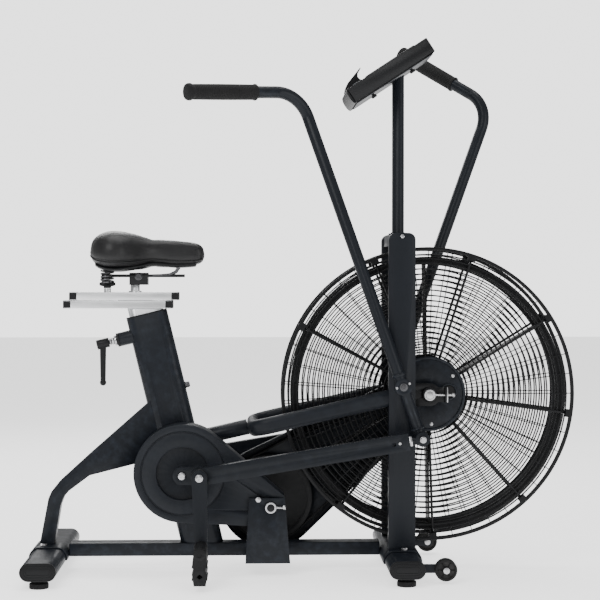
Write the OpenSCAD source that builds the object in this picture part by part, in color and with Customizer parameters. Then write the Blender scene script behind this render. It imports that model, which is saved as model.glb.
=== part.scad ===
// Air bike: a fan-resisted exercise bicycle with swinging handlebars.
// +X points to the fan, +Y to the rider's left, +Z up. Z = 0 is the floor.
// The origin is under the middle of the bounding box.

/* [Overall] */
// Length from the rear stabilizer to the front of the fan cage
overall_length = 1250; // [1230:5:1290]
// Outside radius of the fan cage
cage_radius = 337; // [331:1:343]
// Height of the fan shaft above the floor
fan_height = 410; // [404:1:420]

/* [Saddle and mast] */
// Height of the crank axle above the floor
crank_height = 234; // [230:1:242]
// Distance from the crank axle forward to the fan shaft
crank_to_fan = 561; // [557:1:566]
// Rearward lean of the seat mast in degrees
mast_lean = 13.6; // [12:0.2:15]
// Length of the mast from the crank axle to its top
mast_length = 368; // [355:1:368]

/* [Handlebars] */
// Height of the handlebar pivot above the floor
pivot_height = 431.5; // [428:0.5:436]
// Distance from the pivot to the bend of the bar
bar_rise = 699; // [660:1:720]
// Distance from the bend to the end of the grip
bar_reach = 281; // [260:1:300]
// Swing of each bar to either side of upright in degrees
bar_swing = 19.5; // [18:0.1:20]
// Outward splay of the grips in degrees
grip_splay = 30; // [20:1:35]
// Distance from the pivot down to the push rod joint
lever_drop = 122; // [118:1:126]

/* [Cranks and pedals] */
// Offset of the push rod pin from the crank axle
pin_offset = 40; // [36:1:42]
// Drop of the pedal spindle below the crank axle
spindle_drop = 152; // [140:1:154]

/* [Stabilizers] */
// Length of each cross tube without its end caps
stabilizer_length = 480; // [460:5:500]

/* [Hidden] */

$fn = 64;
fit = 0.05;            // radial gap of a running fit
seam = 0.1;            // gap between welded or bolted neighbours
through = 600;         // length of a tool that cuts right through
charcoal = [0.16, 0.17, 0.19];
black = [0.08, 0.08, 0.09];
silver = [0.78, 0.79, 0.8];

// Places along the bike
stab_x = 40;           // half the width of a stabilizer tube
stab_z = 38;           // height of a stabilizer's centre
stab_h = 40;           // height of a stabilizer tube
plate_x = 44;          // half the width of a stabilizer bracket
rear_x = -overall_length / 2 + plate_x;
fan_x = overall_length / 2 - cage_radius;
axle_x = fan_x - crank_to_fan;
upright_x = fan_x - 65;
front_x = upright_x;
idler_x = axle_x + 199;
idler_z = crank_height - 76;

// Layers outward from the middle plane, the same on both sides
cage_y = 54;           // half the depth of the fan cage
upright_in = 84;       // inner face of an upright
upright_out = 112;     // outer face of an upright
lever_y = 133;         // centre of a handlebar lever
arm_in = 130;          // inner face of the inner crank arm
arm_out = 145;         // outer face of the inner crank arm
rod_in = 150;          // inner face of a push rod
rod_out = 172;         // outer face of a push rod
pedal_arm_in = 175;    // inner face of the pedal arm
pedal_arm_out = 189;   // outer face of the pedal arm
pedal_in = 193;        // inner face of a pedal
pedal_out = 286;       // outer face of a pedal

// Tubes
base_w = 50;
base_h = 30;
base_top = 65;
mast_w = 96;
mast_d = 48;
wall = 3;
bar_d = 27;
bar_bore = 22;
bend_r = 75;

// Drive train
crank_pulley_r = 60.5;
idler_small_r = 22;
idler_large_r = 100;
fan_pulley_r = 40;
belt_gap = 0.5;
belt_t = 3.5;
axle_d = 20;
crank_stub_d = 16;
pin_d = 16;
spindle_d = 12;
fan_axle_d = 17;
idler_shaft_d = 16;
spindle_x = 44;

// Push rod line, from the crank pin to the foot of the lever
lever_foot_x = upright_x + lever_drop * sin(bar_swing);
lever_foot_z = pivot_height - lever_drop * cos(bar_swing);
rod_dx = lever_foot_x - (axle_x + pin_offset);
rod_dz = lever_foot_z - crank_height;
rod_len = norm([rod_dx, rod_dz]);
rod_tilt = atan2(rod_dz, rod_dx);

// Grip direction in the frame of an upright lever
grip_rise = 16;
grip_elev = asin(sin(grip_rise) * cos(grip_splay));
grip_turn = atan2(sin(grip_splay), cos(grip_rise) * cos(grip_splay));
bend_angle = 90 - grip_elev;
bend_cut = bend_r * tan(bend_angle / 2);

// Saddle slides
lower_z = 606;
slide_h = 18;
slide_w = 40;
slide_len = 247;
upper_z = lower_z + slide_h + 1;
lower_x = axle_x - 275;
upper_x = lower_x + 14;
pillar_x = axle_x - 113;

// Console
console_tilt = 33.2;
console_x = upright_x - 102.5;
console_z = 1071.4;
console_len = 214;
console_w = 190;
console_t = 36;

// Brackets and small parts
wheel_x = front_x + 89;    // transport wheel axle
wheel_z = 31;
wheel_r = 24;
boss_z = 326;          // lock lever boss, measured up the mast
boss_out = 74;         // and back from the mast's centre line
fork_tilt = 12.8;      // rise of the top tube in degrees
yoke_x = axle_x + 160;
yoke_z = crank_height + 100;
fork_y = 98;           // centre of a fork leg
leg_w = 26;
leg_h = 38;
fork_bend = 40;
upright_w = 60;
upright_top = 778;
bridge_low = fan_height + cage_radius + 2;
bracket_right_y = 104; // inner face of the right idler bracket
bracket_left_y = 80;   // inner face of the left idler bracket
bracket_t = 4;
bracket_foot = 31;     // bottom edge of the idler brackets

// Drive casings
guard_r = 111;
guard_in = 30;
guard_out = 100;
guard_wall = 3;
fan_guard_r = 121;
fan_guard_tip = 50;

// Saddle
post_w = 80;
post_d = 34;
pillar_d = 21;
clamp_up = 17;         // clamp's height above the upper slide
saddle_z = upper_z + slide_h + 97;

// ---------- Helpers ----------

// Extrudes an outline drawn in X and Z from y0 to y1.
module slab(y0, y1) {
    translate([0, y1, 0]) rotate([90, 0, 0]) linear_extrude(y1 - y0) children();
}

// A round bar along Y through (x, z).
module pin_y(x, z, d, y0, y1) {
    translate([x, y0, z]) rotate([-90, 0, 0]) cylinder(d = d, h = y1 - y0);
}

// The same piece on the rider's left and on the right.
module both_sides() {
    children();
    mirror([0, 1, 0]) children();
}

// A flat oval, long side along the first axis.
module flat_oval(long, short) {
    square([long - short, short], center = true);
    for (side = [-1, 1]) translate([side * (long - short) / 2, 0]) circle(d = short);
}

// The outline round two circles and the tangents that join them.
module loop_outline(ax, az, ar, bx, bz, br) {
    span = norm([bx - ax, bz - az]);
    turn = atan2(bz - az, bx - ax);
    open = acos((ar - br) / span);
    inset = 0.02;
    translate([ax, az]) circle(r = ar, $fn = 96);
    translate([bx, bz]) circle(r = br, $fn = 96);
    polygon([
        [ax, az],
        [ax + (ar - inset) * cos(turn - open), az + (ar - inset) * sin(turn - open)],
        [bx + (br - inset) * cos(turn - open), bz + (br - inset) * sin(turn - open)],
        [bx, bz],
        [bx + (br - inset) * cos(turn + open), bz + (br - inset) * sin(turn + open)],
        [ax + (ar - inset) * cos(turn + open), az + (ar - inset) * sin(turn + open)]
    ]);
}

// Frame of the seat mast: origin on the crank axle, Z along the mast.
module on_mast() {
    translate([axle_x, 0, crank_height]) rotate([0, -mast_lean, 0]) children();
}

// Frame of a lever: origin on its pivot, Z up the bar, Y outward from the bike.
module on_lever(side) {
    mirror([0, side > 0 ? 0 : 1, 0])
    translate([upright_x, lever_y, pivot_height]) rotate([0, side * bar_swing, 0]) children();
}

// Frame of the console: X up its slope, Z out of its face.
module on_console() {
    translate([console_x, 0, console_z]) rotate([0, -console_tilt, 0]) children();
}

// ---------- Stabilizers and base ----------

module base_tube() {
    color(charcoal)
    translate([rear_x + plate_x + seam, 0, base_top - base_h / 2])
    rotate([90, 0, 90])
    linear_extrude(front_x - rear_x - 2 * (plate_x + seam))
    difference() {
        square([base_w, base_h], center = true);
        square([base_w - 2 * wall, base_h - 2 * wall], center = true);
    }
}

module stabilizer(x) {
    color(charcoal)
    translate([x, 0, stab_z])
    slab(-stabilizer_length / 2, stabilizer_length / 2)
    difference() {
        flat_oval(2 * stab_x, stab_h);
        flat_oval(2 * (stab_x - wall), stab_h - 2 * wall);
    }
}

module rear_stabilizer() { stabilizer(rear_x); }

module front_stabilizer() { stabilizer(front_x); }

module stabilizer_caps() {
    cap_t = 4;
    plug = 12;
    color(black)
    both_sides()
    for (x = [rear_x, front_x]) translate([x, 0, stab_z]) {
        slab(stabilizer_length / 2, stabilizer_length / 2 + cap_t) flat_oval(2 * stab_x, stab_h);
        slab(stabilizer_length / 2 - plug, stabilizer_length / 2)
            flat_oval(2 * (stab_x - wall - seam), stab_h - 2 * (wall + seam));
    }
}

module leveling_feet() {
    foot_y = stabilizer_length / 2 - 22;
    color(black)
    both_sides()
    for (x = [rear_x, front_x]) translate([x, foot_y, 0]) {
        cylinder(d = 42, h = 11);
        translate([0, 0, 11]) cylinder(d = 22, h = stab_z - stab_h / 2 - 11 - seam);
    }
}

// The curved plate that clamps a frame foot to a stabilizer.
module stabilizer_plate(x, half) {
    translate([x, 0, stab_z])
    slab(-half, half)
    difference() {
        flat_oval(2 * plate_x, stab_h + 8);
        flat_oval(2 * (stab_x + seam), stab_h + 2 * seam);
        translate([-through / 2, -through - 6]) square(through);
    }
}

// The arm that holds a transport wheel ahead of the front stabilizer.
module wheel_arm() {
    slab(178, 182) {
        translate([wheel_x, wheel_z]) circle(r = 12);
        translate([front_x + stab_x - 4, wheel_z - 10]) square([wheel_x - front_x - stab_x + 4, 20]);
    }
}

module frame_brackets() {
    color(charcoal) {
        stabilizer_plate(rear_x, 60);
        stabilizer_plate(front_x, 130);
        both_sides() difference() {
            wheel_arm();
            translate([front_x, 0, stab_z]) slab(-through, through)
                flat_oval(2 * (stab_x + seam), stab_h + 2 * seam);
            pin_y(wheel_x, wheel_z, 8.4, 170, 190);
        }
    }
}

// ---------- Frame ----------

// The space that the mast tube takes up.
module mast_space(gap) {
    on_mast() translate([0, 0, -300]) linear_extrude(mast_length + 300)
        flat_oval(mast_w + 2 * gap, mast_d + 2 * gap);
}

module rear_strut() {
    color(charcoal)
    difference() {
        slab(-20, 20) polygon([
            [axle_x - 70, 400], [rear_x + 90, 270], [rear_x + 22, 208],
            [rear_x + 3, 184], [rear_x - 4, 168], [rear_x - 24, 62.1], [rear_x + 9, 62.1],
            [rear_x + 24, 152], [rear_x + 31, 171], [rear_x + 44, 186], [rear_x + 91, 221],
            [axle_x - 40, 266]
        ]);
        mast_space(seam);
    }
}

module seat_mast() {
    color(charcoal)
    difference() {
        union() {
            mast_space(0);
            on_mast() translate([-boss_out, 0, boss_z]) rotate([0, 90, 0]) cylinder(r = 16, h = 40);
        }
        on_mast() translate([0, 0, -300]) linear_extrude(mast_length + 400)
            flat_oval(mast_w - 2 * wall, mast_d - 2 * wall);
        on_mast() translate([-boss_out - 1, 0, boss_z]) rotate([0, 90, 0]) cylinder(d = 10.2, h = 50);
        pin_y(axle_x, crank_height, 50 + 2 * seam, -60, 60);
        translate([axle_x - 500, -200, base_top + seam - 400]) cube([1000, 400, 400]);
    }
}

module mast_sleeve() {
    sleeve_len = 90;
    lip = 3;
    color(black)
    on_mast() translate([0, 0, mast_length + seam])
    difference() {
        union() {
            translate([0, 0, -sleeve_len]) linear_extrude(sleeve_len)
                flat_oval(mast_w - 2 * wall - 2 * seam, mast_d - 2 * wall - 2 * seam);
            linear_extrude(lip) flat_oval(mast_w, mast_d);
        }
        translate([0, 0, -sleeve_len - 1]) linear_extrude(sleeve_len + lip + 2)
            flat_oval(post_w + 4 * seam, post_d + 4 * seam);
    }
}

module bottom_bracket() {
    color(charcoal)
    difference() {
        pin_y(axle_x, crank_height, 50, -38, 38);
        pin_y(axle_x, crank_height, 38, -40, 40);
    }
}

module crank_bearings() {
    color(silver)
    both_sides() difference() {
        pin_y(axle_x, crank_height, 38 - 2 * fit, 28, 38);
        pin_y(axle_x, crank_height, axle_d + 2 * fit, 20, 40);
    }
}

// Frame of the top tube: origin at the yoke of the fork, X along the tube.
module on_fork() {
    translate([yoke_x, 0, yoke_z]) rotate([0, -fork_tilt, 0]) children();
}

module top_tube() {
    color(charcoal)
    difference() {
        on_fork() translate([-170, 0, 0]) rotate([0, 90, 0]) cylinder(d = 36, h = 170 - leg_w / 2 - seam);
        mast_space(seam);
    }
}

// One half of the fork that carries the uprights past the fan cage.
module top_fork() {
    color(charcoal)
    difference() {
        on_fork() {
            rotate([-90, 0, 0]) linear_extrude(fork_y - fork_bend) flat_oval_up(leg_w, leg_h);
            translate([fork_bend, fork_y - fork_bend, 0]) rotate([0, 0, 90])
                rotate_extrude(angle = 90, $fn = 96)
                translate([fork_bend, 0]) flat_oval_up(leg_w, leg_h);
            translate([fork_bend, fork_y, 0]) rotate([90, 0, 90])
                linear_extrude(400) flat_oval_up(leg_w, leg_h);
        }
        translate([upright_x - upright_w / 2 - seam, -through, 0]) cube([through, 2 * through, through]);
    }
}

// A flat oval standing upright.
module flat_oval_up(wide, tall) {
    rotate(90) flat_oval(tall, wide);
}

module top_fork_right() { mirror([0, 1, 0]) top_fork(); }

module top_fork_left() { top_fork(); }

module upright() {
    shoulder = 16;
    foot = stab_z + stab_h / 2 + 4 + seam;
    translate([upright_x, 0, 0]) {
        slab(upright_in, upright_out) {
            translate([-upright_w / 2, foot]) square([upright_w, upright_top - shoulder - foot]);
            translate([-upright_w / 2 + shoulder, foot])
                square([upright_w - 2 * shoulder, upright_top - foot]);
            for (side = [-1, 1]) translate([side * (upright_w / 2 - shoulder), upright_top - shoulder])
                circle(r = shoulder);
        }
        pin_y(0, pivot_height, 22, upright_out - 1, lever_y + 15);
    }
}

module upright_right() { color(charcoal) mirror([0, 1, 0]) upright(); }

module upright_left() { color(charcoal) upright(); }

module upright_bridge() {
    color(charcoal)
    translate([upright_x - 26, -upright_in + seam, bridge_low])
        cube([52, 2 * (upright_in - seam), upright_top - 4 - bridge_low]);
}

module console_mast() {
    foot_z = upright_top - 4 + seam;
    gap = 1;
    under_console = console_z + (upright_x - console_x) * tan(console_tilt) - gap;
    color(charcoal)
    translate([upright_x, 0, foot_z]) difference() {
        union() {
            cylinder(d = 28, h = under_console + 20 - foot_z);
            cylinder(d = 44, h = 5);
        }
        translate([0, 0, 8]) cylinder(d = 23, h = 600);
        translate([0, 0, under_console - foot_z])
            rotate([0, -console_tilt, 0]) translate([-50, -50, 0]) cube([100, 100, 100]);
    }
}

// ---------- Drive casings ----------

module bracket_outline() {
    polygon([
        [idler_x - 49, idler_z + 21], [idler_x + 32, idler_z + 21],
        [idler_x + 44, bracket_foot], [idler_x - 57, bracket_foot]
    ]);
}

module idler_bracket_right() {
    color(charcoal)
    difference() {
        union() {
            slab(-bracket_right_y - bracket_t, -bracket_right_y) bracket_outline();
            translate([idler_x - 57, -bracket_right_y, bracket_foot])
                cube([101, bracket_right_y + bracket_left_y + bracket_t, bracket_t - seam]);
        }
        pin_y(idler_x, idler_z, idler_shaft_d + 2 * fit, -120, -100);
    }
}

module idler_bracket_left() {
    color(charcoal)
    difference() {
        slab(bracket_left_y, bracket_left_y + bracket_t)
            intersection() {
                bracket_outline();
                translate([idler_x - 100, bracket_foot + bracket_t]) square(300);
            }
        pin_y(idler_x, idler_z, idler_shaft_d + 2 * fit, 70, 100);
    }
}

// Round casing over the crank pulley, drawn out to the idler.
module guard_outline(inset) {
    r = guard_r - inset;
    fall = 40.7;
    dip = 3;
    end_x = idler_x + 31 - inset;
    top_z = crank_height + (r - (end_x - axle_x) * sin(fall)) / cos(fall);
    low_z = crank_height - (r + (end_x - axle_x) * sin(dip)) / cos(dip);
    translate([axle_x, crank_height]) circle(r = r, $fn = 96);
    polygon([
        [axle_x, crank_height],
        [axle_x + r * sin(fall), crank_height + r * cos(fall)],
        [end_x, top_z],
        [end_x, low_z],
        [axle_x - r * sin(dip), crank_height - r * cos(dip)]
    ]);
}

module crank_guard() {
    recess_r = 60;
    recess = 12;
    groove_r = 94;
    color(charcoal)
    difference() {
        union() {
            difference() {
                slab(-guard_out, -guard_in) guard_outline(0);
                slab(-guard_out + guard_wall, 0) guard_outline(guard_wall);
            }
            pin_y(axle_x, crank_height, 2 * (recess_r + guard_wall),
                  -guard_out, -guard_out + recess + guard_wall);
        }
        pin_y(axle_x, crank_height, 2 * recess_r, -guard_out - 1, -guard_out + recess);
        pin_y(axle_x, crank_height, axle_d + 6, -guard_out - 1, 0);
        pin_y(idler_x, idler_z, idler_shaft_d + 6, -guard_out - 1, -guard_out + 8);
        difference() {
            pin_y(axle_x, crank_height, 2 * groove_r + 3, -guard_out - 1, -guard_out + 1.2);
            pin_y(axle_x, crank_height, 2 * groove_r - 3, -guard_out - 2, -guard_out + 2);
        }
    }
}

module fan_belt_guard() {
    in_y = 61.5;
    out_y = 79;
    color(charcoal)
    difference() {
        slab(in_y, out_y) loop_outline(idler_x, idler_z, fan_guard_r, fan_x, fan_height, fan_guard_tip);
        slab(in_y - 1, out_y - guard_wall + 0.5)
            loop_outline(idler_x, idler_z, fan_guard_r - guard_wall, fan_x, fan_height,
                         fan_guard_tip - guard_wall);
        pin_y(idler_x, idler_z, idler_shaft_d + 4, 50, 90);
        pin_y(fan_x, fan_height, fan_axle_d + 4, 50, 90);
    }
}

// ---------- Fan cage ----------

module axle_brackets() {
    tab_x = 34;
    color(black)
    both_sides() {
        difference() {
            slab(80, upright_in - seam) {
                translate([upright_x - 20, fan_height - 26]) square([fan_x - upright_x + 20, 52]);
                translate([fan_x, fan_height]) circle(r = 26);
                translate([fan_x, fan_height - 17]) square([tab_x + 4, 34]);
            }
            pin_y(fan_x, fan_height, fan_axle_d + 2 * fit, 70, 90);
        }
        translate([fan_x + tab_x, 80, fan_height - 17]) difference() {
            cube([4, 18, 34]);
            translate([-1, 12.2, 17]) rotate([0, 90, 0]) cylinder(d = 6.4, h = 6);
        }
    }
}

module fan_axle() {
    color(silver) pin_y(fan_x, fan_height, fan_axle_d, -95, 95);
}

module cage_rim() {
    band = 8;
    color(black)
    translate([fan_x, 0, fan_height]) {
        both_sides() slab(cage_y - band, cage_y) difference() {
            circle(r = cage_radius, $fn = 128);
            circle(r = cage_radius - band, $fn = 128);
        }
        for (i = [0:8]) rotate([0, -i * 40 + 8, 0])
            translate([cage_radius - 7, -cage_y + 4, -3]) cube([5, 2 * cage_y - 8, 6]);
    }
}

// A flat grille of rings and spokes inside the rim.
module grille(side) {
    rings = 6;
    first = 88;
    last = cage_radius - 8 - seam;
    step = (last - first) / (rings - 1);
    color(black)
    translate([fan_x, 0, fan_height])
    slab(side > 0 ? 49 : -52, side > 0 ? 52 : -49) {
        for (i = [0:rings - 1]) difference() {
            circle(r = first + i * step, $fn = 128);
            circle(r = first + i * step - 5, $fn = 128);
        }
        for (i = [0:8]) rotate(i * 40 - 8)
            translate([first - 3, -2.5]) square([last - first, 5]);
    }
}

module grille_right() { grille(-1); }

module grille_left() { grille(1); }

module hub_plates() {
    color(charcoal)
    both_sides() difference() {
        pin_y(fan_x, fan_height, 172, 52 + seam, 55);
        pin_y(fan_x, fan_height, 34, 40, 60);
    }
}

// ---------- Belts and fasteners ----------

module belt(ax, az, ar, bx, bz, br, y0, y1) {
    slab(y0, y1) difference() {
        loop_outline(ax, az, ar + belt_gap + belt_t, bx, bz, br + belt_gap + belt_t);
        loop_outline(ax, az, ar + belt_gap, bx, bz, br + belt_gap);
    }
}

module belts() {
    color(black) {
        belt(axle_x, crank_height, crank_pulley_r, idler_x, idler_z, idler_small_r, -65, -51);
        belt(idler_x, idler_z, idler_large_r, fan_x, fan_height, fan_pulley_r, 64, 74);
    }
}

// A hexagon head with its axis along Z.
module hex_head(across, h) {
    cylinder(d = across / cos(30), h = h, $fn = 6);
}

// An eyebolt whose ring lies round a shaft end at the origin, with its nut at distance reach.
module eyebolt(bore, reach, y0, y1) {
    difference() {
        union() {
            slab(y0, y1) circle(d = bore + 8);
            translate([bore / 2 + 2, (y0 + y1) / 2, 0]) rotate([0, 90, 0]) cylinder(d = 5, h = reach);
        }
        slab(y0 - 1, y1 + 1) circle(d = bore);
    }
    translate([bore / 2 + reach - 3, (y0 + y1) / 2, 0]) rotate([0, 90, 0]) difference() {
        hex_head(9, 6);
        translate([0, 0, -1]) cylinder(d = 5 + seam, h = 8);
    }
}

module wheel_bolt() {
    pin_y(wheel_x, wheel_z, 8, 175, 208.4);
    pin_y(wheel_x, wheel_z, 14, 208.4, 212);
    pin_y(wheel_x, wheel_z, 14, 173, 177.8);
}

module fasteners() {
    plate_top = stab_z + stab_h / 2 + 4 + seam;
    color(silver) {
        both_sides() {
            translate([rear_x - 12, 38, plate_top]) hex_head(13, 5);
            translate([front_x + 4, 121, plate_top]) hex_head(13, 5);
            translate([fan_x, 0, fan_height]) difference() {
                translate([0, 84 + seam, 0]) rotate([-90, 0, 0]) hex_head(27, 6);
                pin_y(0, 0, fan_axle_d + 2 * seam, 80, 95);
            }
            translate([upright_x, upright_out + seam, upright_top - 8]) rotate([-90, 0, 0])
                hex_head(8, 3);
            wheel_bolt();
        }
        translate([fan_x, 0, fan_height]) eyebolt(fan_axle_d + 2 * seam, 45, -94, -90.4);
        translate([idler_x - 28, -bracket_right_y - bracket_t - seam, idler_z + 18])
            rotate([90, 0, 0]) hex_head(11, 4);
        translate([idler_x - 28, bracket_left_y + bracket_t + seam, idler_z + 18])
            rotate([-90, 0, 0]) hex_head(11, 4);
        translate([idler_x, 0, idler_z]) eyebolt(idler_shaft_d + 1, 22, -116, -111.5);
    }
}

// ---------- Console ----------

module console_housing() {
    shell = 3;
    color(charcoal)
    on_console() difference() {
        translate([0, -console_w / 2, 2]) cube([console_len, console_w, console_t]);
        translate([shell, -console_w / 2 + shell, 1])
            cube([console_len - 2 * shell, console_w - 2 * shell, console_t - shell]);
        translate([58, -72, console_t - shell]) cube([120, 144, 10]);
        for (side = [-1, 1]) translate([30, side * 40, console_t - shell]) cylinder(d = 21, h = 10);
    }
}

module console_screen() {
    color([0.05, 0.06, 0.07])
    on_console() translate([58.2, -71.8, console_t - 2]) cube([119.6, 143.6, 3]);
}

module console_plate() {
    color(silver)
    on_console() translate([4, -70, -0.6]) cube([console_len - 8, 140, 2.4]);
}

module console_button(side) {
    color([0.3, 0.31, 0.33])
    on_console() translate([30, side * 40, console_t - 3]) cylinder(d = 20, h = 8);
}

module console_button_right() { console_button(-1); }

module console_button_left() { console_button(1); }

// ---------- Transport wheels ----------

module transport_wheel() {
    color(black)
    difference() {
        union() {
            pin_y(wheel_x, wheel_z, 2 * wheel_r, 184, 206);
            pin_y(wheel_x, wheel_z, 18, 183, 207);
        }
        pin_y(wheel_x, wheel_z, 8 + 2 * fit, 180, 210);
        for (i = [0, 1]) difference() {
            pin_y(wheel_x, wheel_z, 2 * (wheel_r - 5), i == 0 ? 180 : 203, i == 0 ? 187 : 210);
            pin_y(wheel_x, wheel_z, 18, 178, 212);
        }
    }
}

module transport_wheel_right() { mirror([0, 1, 0]) transport_wheel(); }

module transport_wheel_left() { transport_wheel(); }

// ---------- Cranks and pedals ----------

module crank_axle() {
    color(silver) {
        pin_y(axle_x, crank_height, axle_d, -arm_in + seam, arm_in - seam);
        pin_y(axle_x, crank_height, crank_stub_d, -arm_out, arm_out);
        both_sides() pin_y(axle_x, crank_height, 13, arm_out, arm_out + 3);
    }
}

module crank_pulley() {
    color(black)
    difference() {
        pin_y(axle_x, crank_height, 2 * crank_pulley_r, -66, -50);
        pin_y(axle_x, crank_height, axle_d + seam, -70, -40);
        for (side = [0, 1]) difference() {
            pin_y(axle_x, crank_height, 2 * crank_pulley_r - 20,
                  side == 0 ? -70 : -55, side == 0 ? -61 : -45);
            pin_y(axle_x, crank_height, 44, -80, -40);
        }
    }
}

// Both arms of one crank and the two pins between them, on the left at a half turn.
module crank(turn) {
    shaft_r = 20;
    pin_r = 17;
    foot_r = 14;
    color(charcoal)
    difference() {
        translate([axle_x, 0, crank_height]) rotate([0, turn, 0]) {
            slab(arm_in, arm_out) loop_outline(0, 0, shaft_r, pin_offset, 0, shaft_r);
            pin_y(pin_offset, 0, pin_d, arm_out - 1, pedal_arm_out);
            slab(pedal_arm_in, pedal_arm_out)
                loop_outline(pin_offset, 0, pin_r, spindle_x, -spindle_drop, foot_r);
            pin_y(spindle_x, -spindle_drop, spindle_d, pedal_arm_out - 1, pedal_out - 4);
        }
        pin_y(axle_x, crank_height, crank_stub_d + seam, 120, arm_out + 1);
    }
}

module crank_right() { mirror([0, 1, 0]) crank(0); }

module crank_left() { crank(180); }

module pedal_shape() {
    difference() {
        union() {
            pin_y(0, 0, 28, pedal_in, pedal_out);
            slab(pedal_in + 2, pedal_out - 2) polygon([
                [-12, 12], [12, 12], [16, -18], [12, -34], [16, -42], [13, -68],
                [-13, -68], [-17, -42], [-12, -34], [-16, -18]
            ]);
        }
        pin_y(0, 0, spindle_d + 2 * fit, pedal_in - 5, pedal_out - 3);
        slab(pedal_in - 5, pedal_out + 5) polygon([[-7, -48], [0, -42], [7, -48], [0, -54]]);
    }
}

module pedal_right() {
    color(black)
    mirror([0, 1, 0]) translate([axle_x + spindle_x, 0, crank_height - spindle_drop]) pedal_shape();
}

module pedal_left() {
    color(black)
    translate([axle_x - spindle_x, 0, crank_height + spindle_drop]) pedal_shape();
}

// ---------- Drive train ----------

module idler_pulleys() {
    color(black) {
        pin_y(idler_x, idler_z, idler_shaft_d, -117, 90);
        pin_y(idler_x, idler_z, 2 * idler_small_r, -66, -50);
        difference() {
            pin_y(idler_x, idler_z, 2 * idler_large_r, 62.5, 75.5);
            difference() {
                pin_y(idler_x, idler_z, 2 * idler_large_r - 24, 60, 66);
                pin_y(idler_x, idler_z, 60, 59, 68);
            }
        }
    }
}

module fan_hub() {
    color(black)
    difference() {
        union() {
            pin_y(fan_x, fan_height, 120, -38, 38);
            pin_y(fan_x, fan_height, 28, -45, 63);
            pin_y(fan_x, fan_height, 2 * fan_pulley_r, 62.5, 75.5);
        }
        pin_y(fan_x, fan_height, fan_axle_d + 2 * fit, -60, 90);
    }
}

module fan_wheel() {
    vanes = 6;
    vane_t = 3;
    vane_half = 34;
    hoop_r = 315;
    hoop_w = 18;
    color(black)
    translate([fan_x, 0, fan_height]) {
        for (i = [0:vanes - 1]) rotate([0, -31 - i * 360 / vanes, 0])
            translate([60 + seam, -vane_half, -vane_t / 2])
                cube([hoop_r - 70, 2 * vane_half, vane_t]);
        both_sides() slab(vane_half - 2, vane_half + 2) difference() {
            circle(r = hoop_r, $fn = 128);
            circle(r = hoop_r - hoop_w, $fn = 128);
        }
    }
}

// ---------- Push rods and handlebars ----------

module push_rod(pin_x) {
    tall = 38;
    tube_end = rod_len - 31;
    color(charcoal)
    translate([pin_x, 0, crank_height]) rotate([0, -rod_tilt, 0])
    difference() {
        union() {
            slab(rod_in, rod_out) {
                circle(d = tall);
                translate([0, -tall / 2]) square([tube_end, tall]);
            }
            translate([tube_end - 1, (rod_in + rod_out) / 2, 0]) rotate([0, 90, 0])
                cylinder(d = 14, h = 20);
            slab(rod_in + 1, rod_out - 1) translate([rod_len, 0]) circle(r = 16);
            pin_y(rod_len, 0, 15, rod_out - 2, rod_out + 5);
        }
        pin_y(0, 0, pin_d + 2 * fit, rod_in - 5, rod_out + 5);
        slab(rod_in + wall, rod_out - wall)
            translate([30, -tall / 2 + wall]) square([tube_end - 40, tall - 2 * wall]);
        slab(rod_in - 5, rod_out + 5) translate([tube_end - 34, 0]) circle(d = 9);
    }
}

module push_rod_right() { mirror([0, 1, 0]) push_rod(axle_x + pin_offset); }

module push_rod_left() { push_rod(axle_x - pin_offset); }

// Turns the plane of the bend rearward and outward.
module to_grip() {
    rotate([0, 0, 180 - grip_turn]) children();
}

// Frame of the straight end of the bar: origin where the bend stops, Z towards the grip's end.
module grip_line() {
    to_grip() translate([
        bend_r * (1 - cos(bend_angle)), 0,
        bar_rise - bend_cut + bend_r * sin(bend_angle)
    ]) rotate([0, bend_angle, 0]) children();
}

module handlebar(side) {
    lap = 2;
    solid_to = 40;
    hub_d = 38;
    foot_d = 32;
    foot_half = 14.5;
    stub_d = 22;
    hub_in = lever_y - upright_out - 1;
    color(charcoal)
    on_lever(side) difference() {
        union() {
            translate([0, 0, -lever_drop]) cylinder(d = bar_d, h = bar_rise - bend_cut + lever_drop);
            pin_y(0, 0, hub_d, -hub_in, hub_in - 6);
            translate([0, 0, -lever_drop]) pin_y(0, 0, foot_d, -foot_half, foot_half);
            to_grip() translate([bend_r, 0, bar_rise - bend_cut]) rotate([90, 0, 0])
                rotate_extrude(angle = bend_angle + 2 * lap, start = 180 - bend_angle - lap, $fn = 64)
                translate([bend_r, 0]) circle(d = bar_d - seam);
            grip_line() cylinder(d = bar_d, h = bar_reach - bend_cut);
        }
        pin_y(0, 0, stub_d + 2 * fit, -40, 40);
        translate([0, 0, solid_to]) cylinder(d = bar_bore, h = bar_rise - bend_cut - solid_to - 10);
        grip_line() translate([0, 0, 10]) cylinder(d = bar_bore, h = bar_reach);
    }
}

module handlebar_right() { handlebar(-1); }

module handlebar_left() { handlebar(1); }

module grip(side) {
    grip_len = 168;
    start = bar_reach - bend_cut - grip_len;
    color(black)
    on_lever(side) grip_line() difference() {
        union() {
            translate([0, 0, start]) cylinder(d = 34, h = grip_len + 3);
            translate([0, 0, start]) cylinder(d = 37, h = 4);
            translate([0, 0, start + grip_len - 4]) cylinder(d = 38, h = 10);
        }
        translate([0, 0, start - 1]) cylinder(d = bar_d + 2 * seam, h = grip_len + 1 + seam);
    }
}

module grip_right() { grip(-1); }

module grip_left() { grip(1); }

// ---------- Saddle ----------

module seat_post() {
    color(silver)
    difference() {
        on_mast() translate([0, 0, 60]) linear_extrude(400) difference() {
            flat_oval(post_w, post_d);
            flat_oval(post_w - 2 * wall, post_d - 2 * wall);
        }
        translate([-800, -200, lower_z - seam]) cube([1000, 400, 400]);
    }
}

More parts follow.
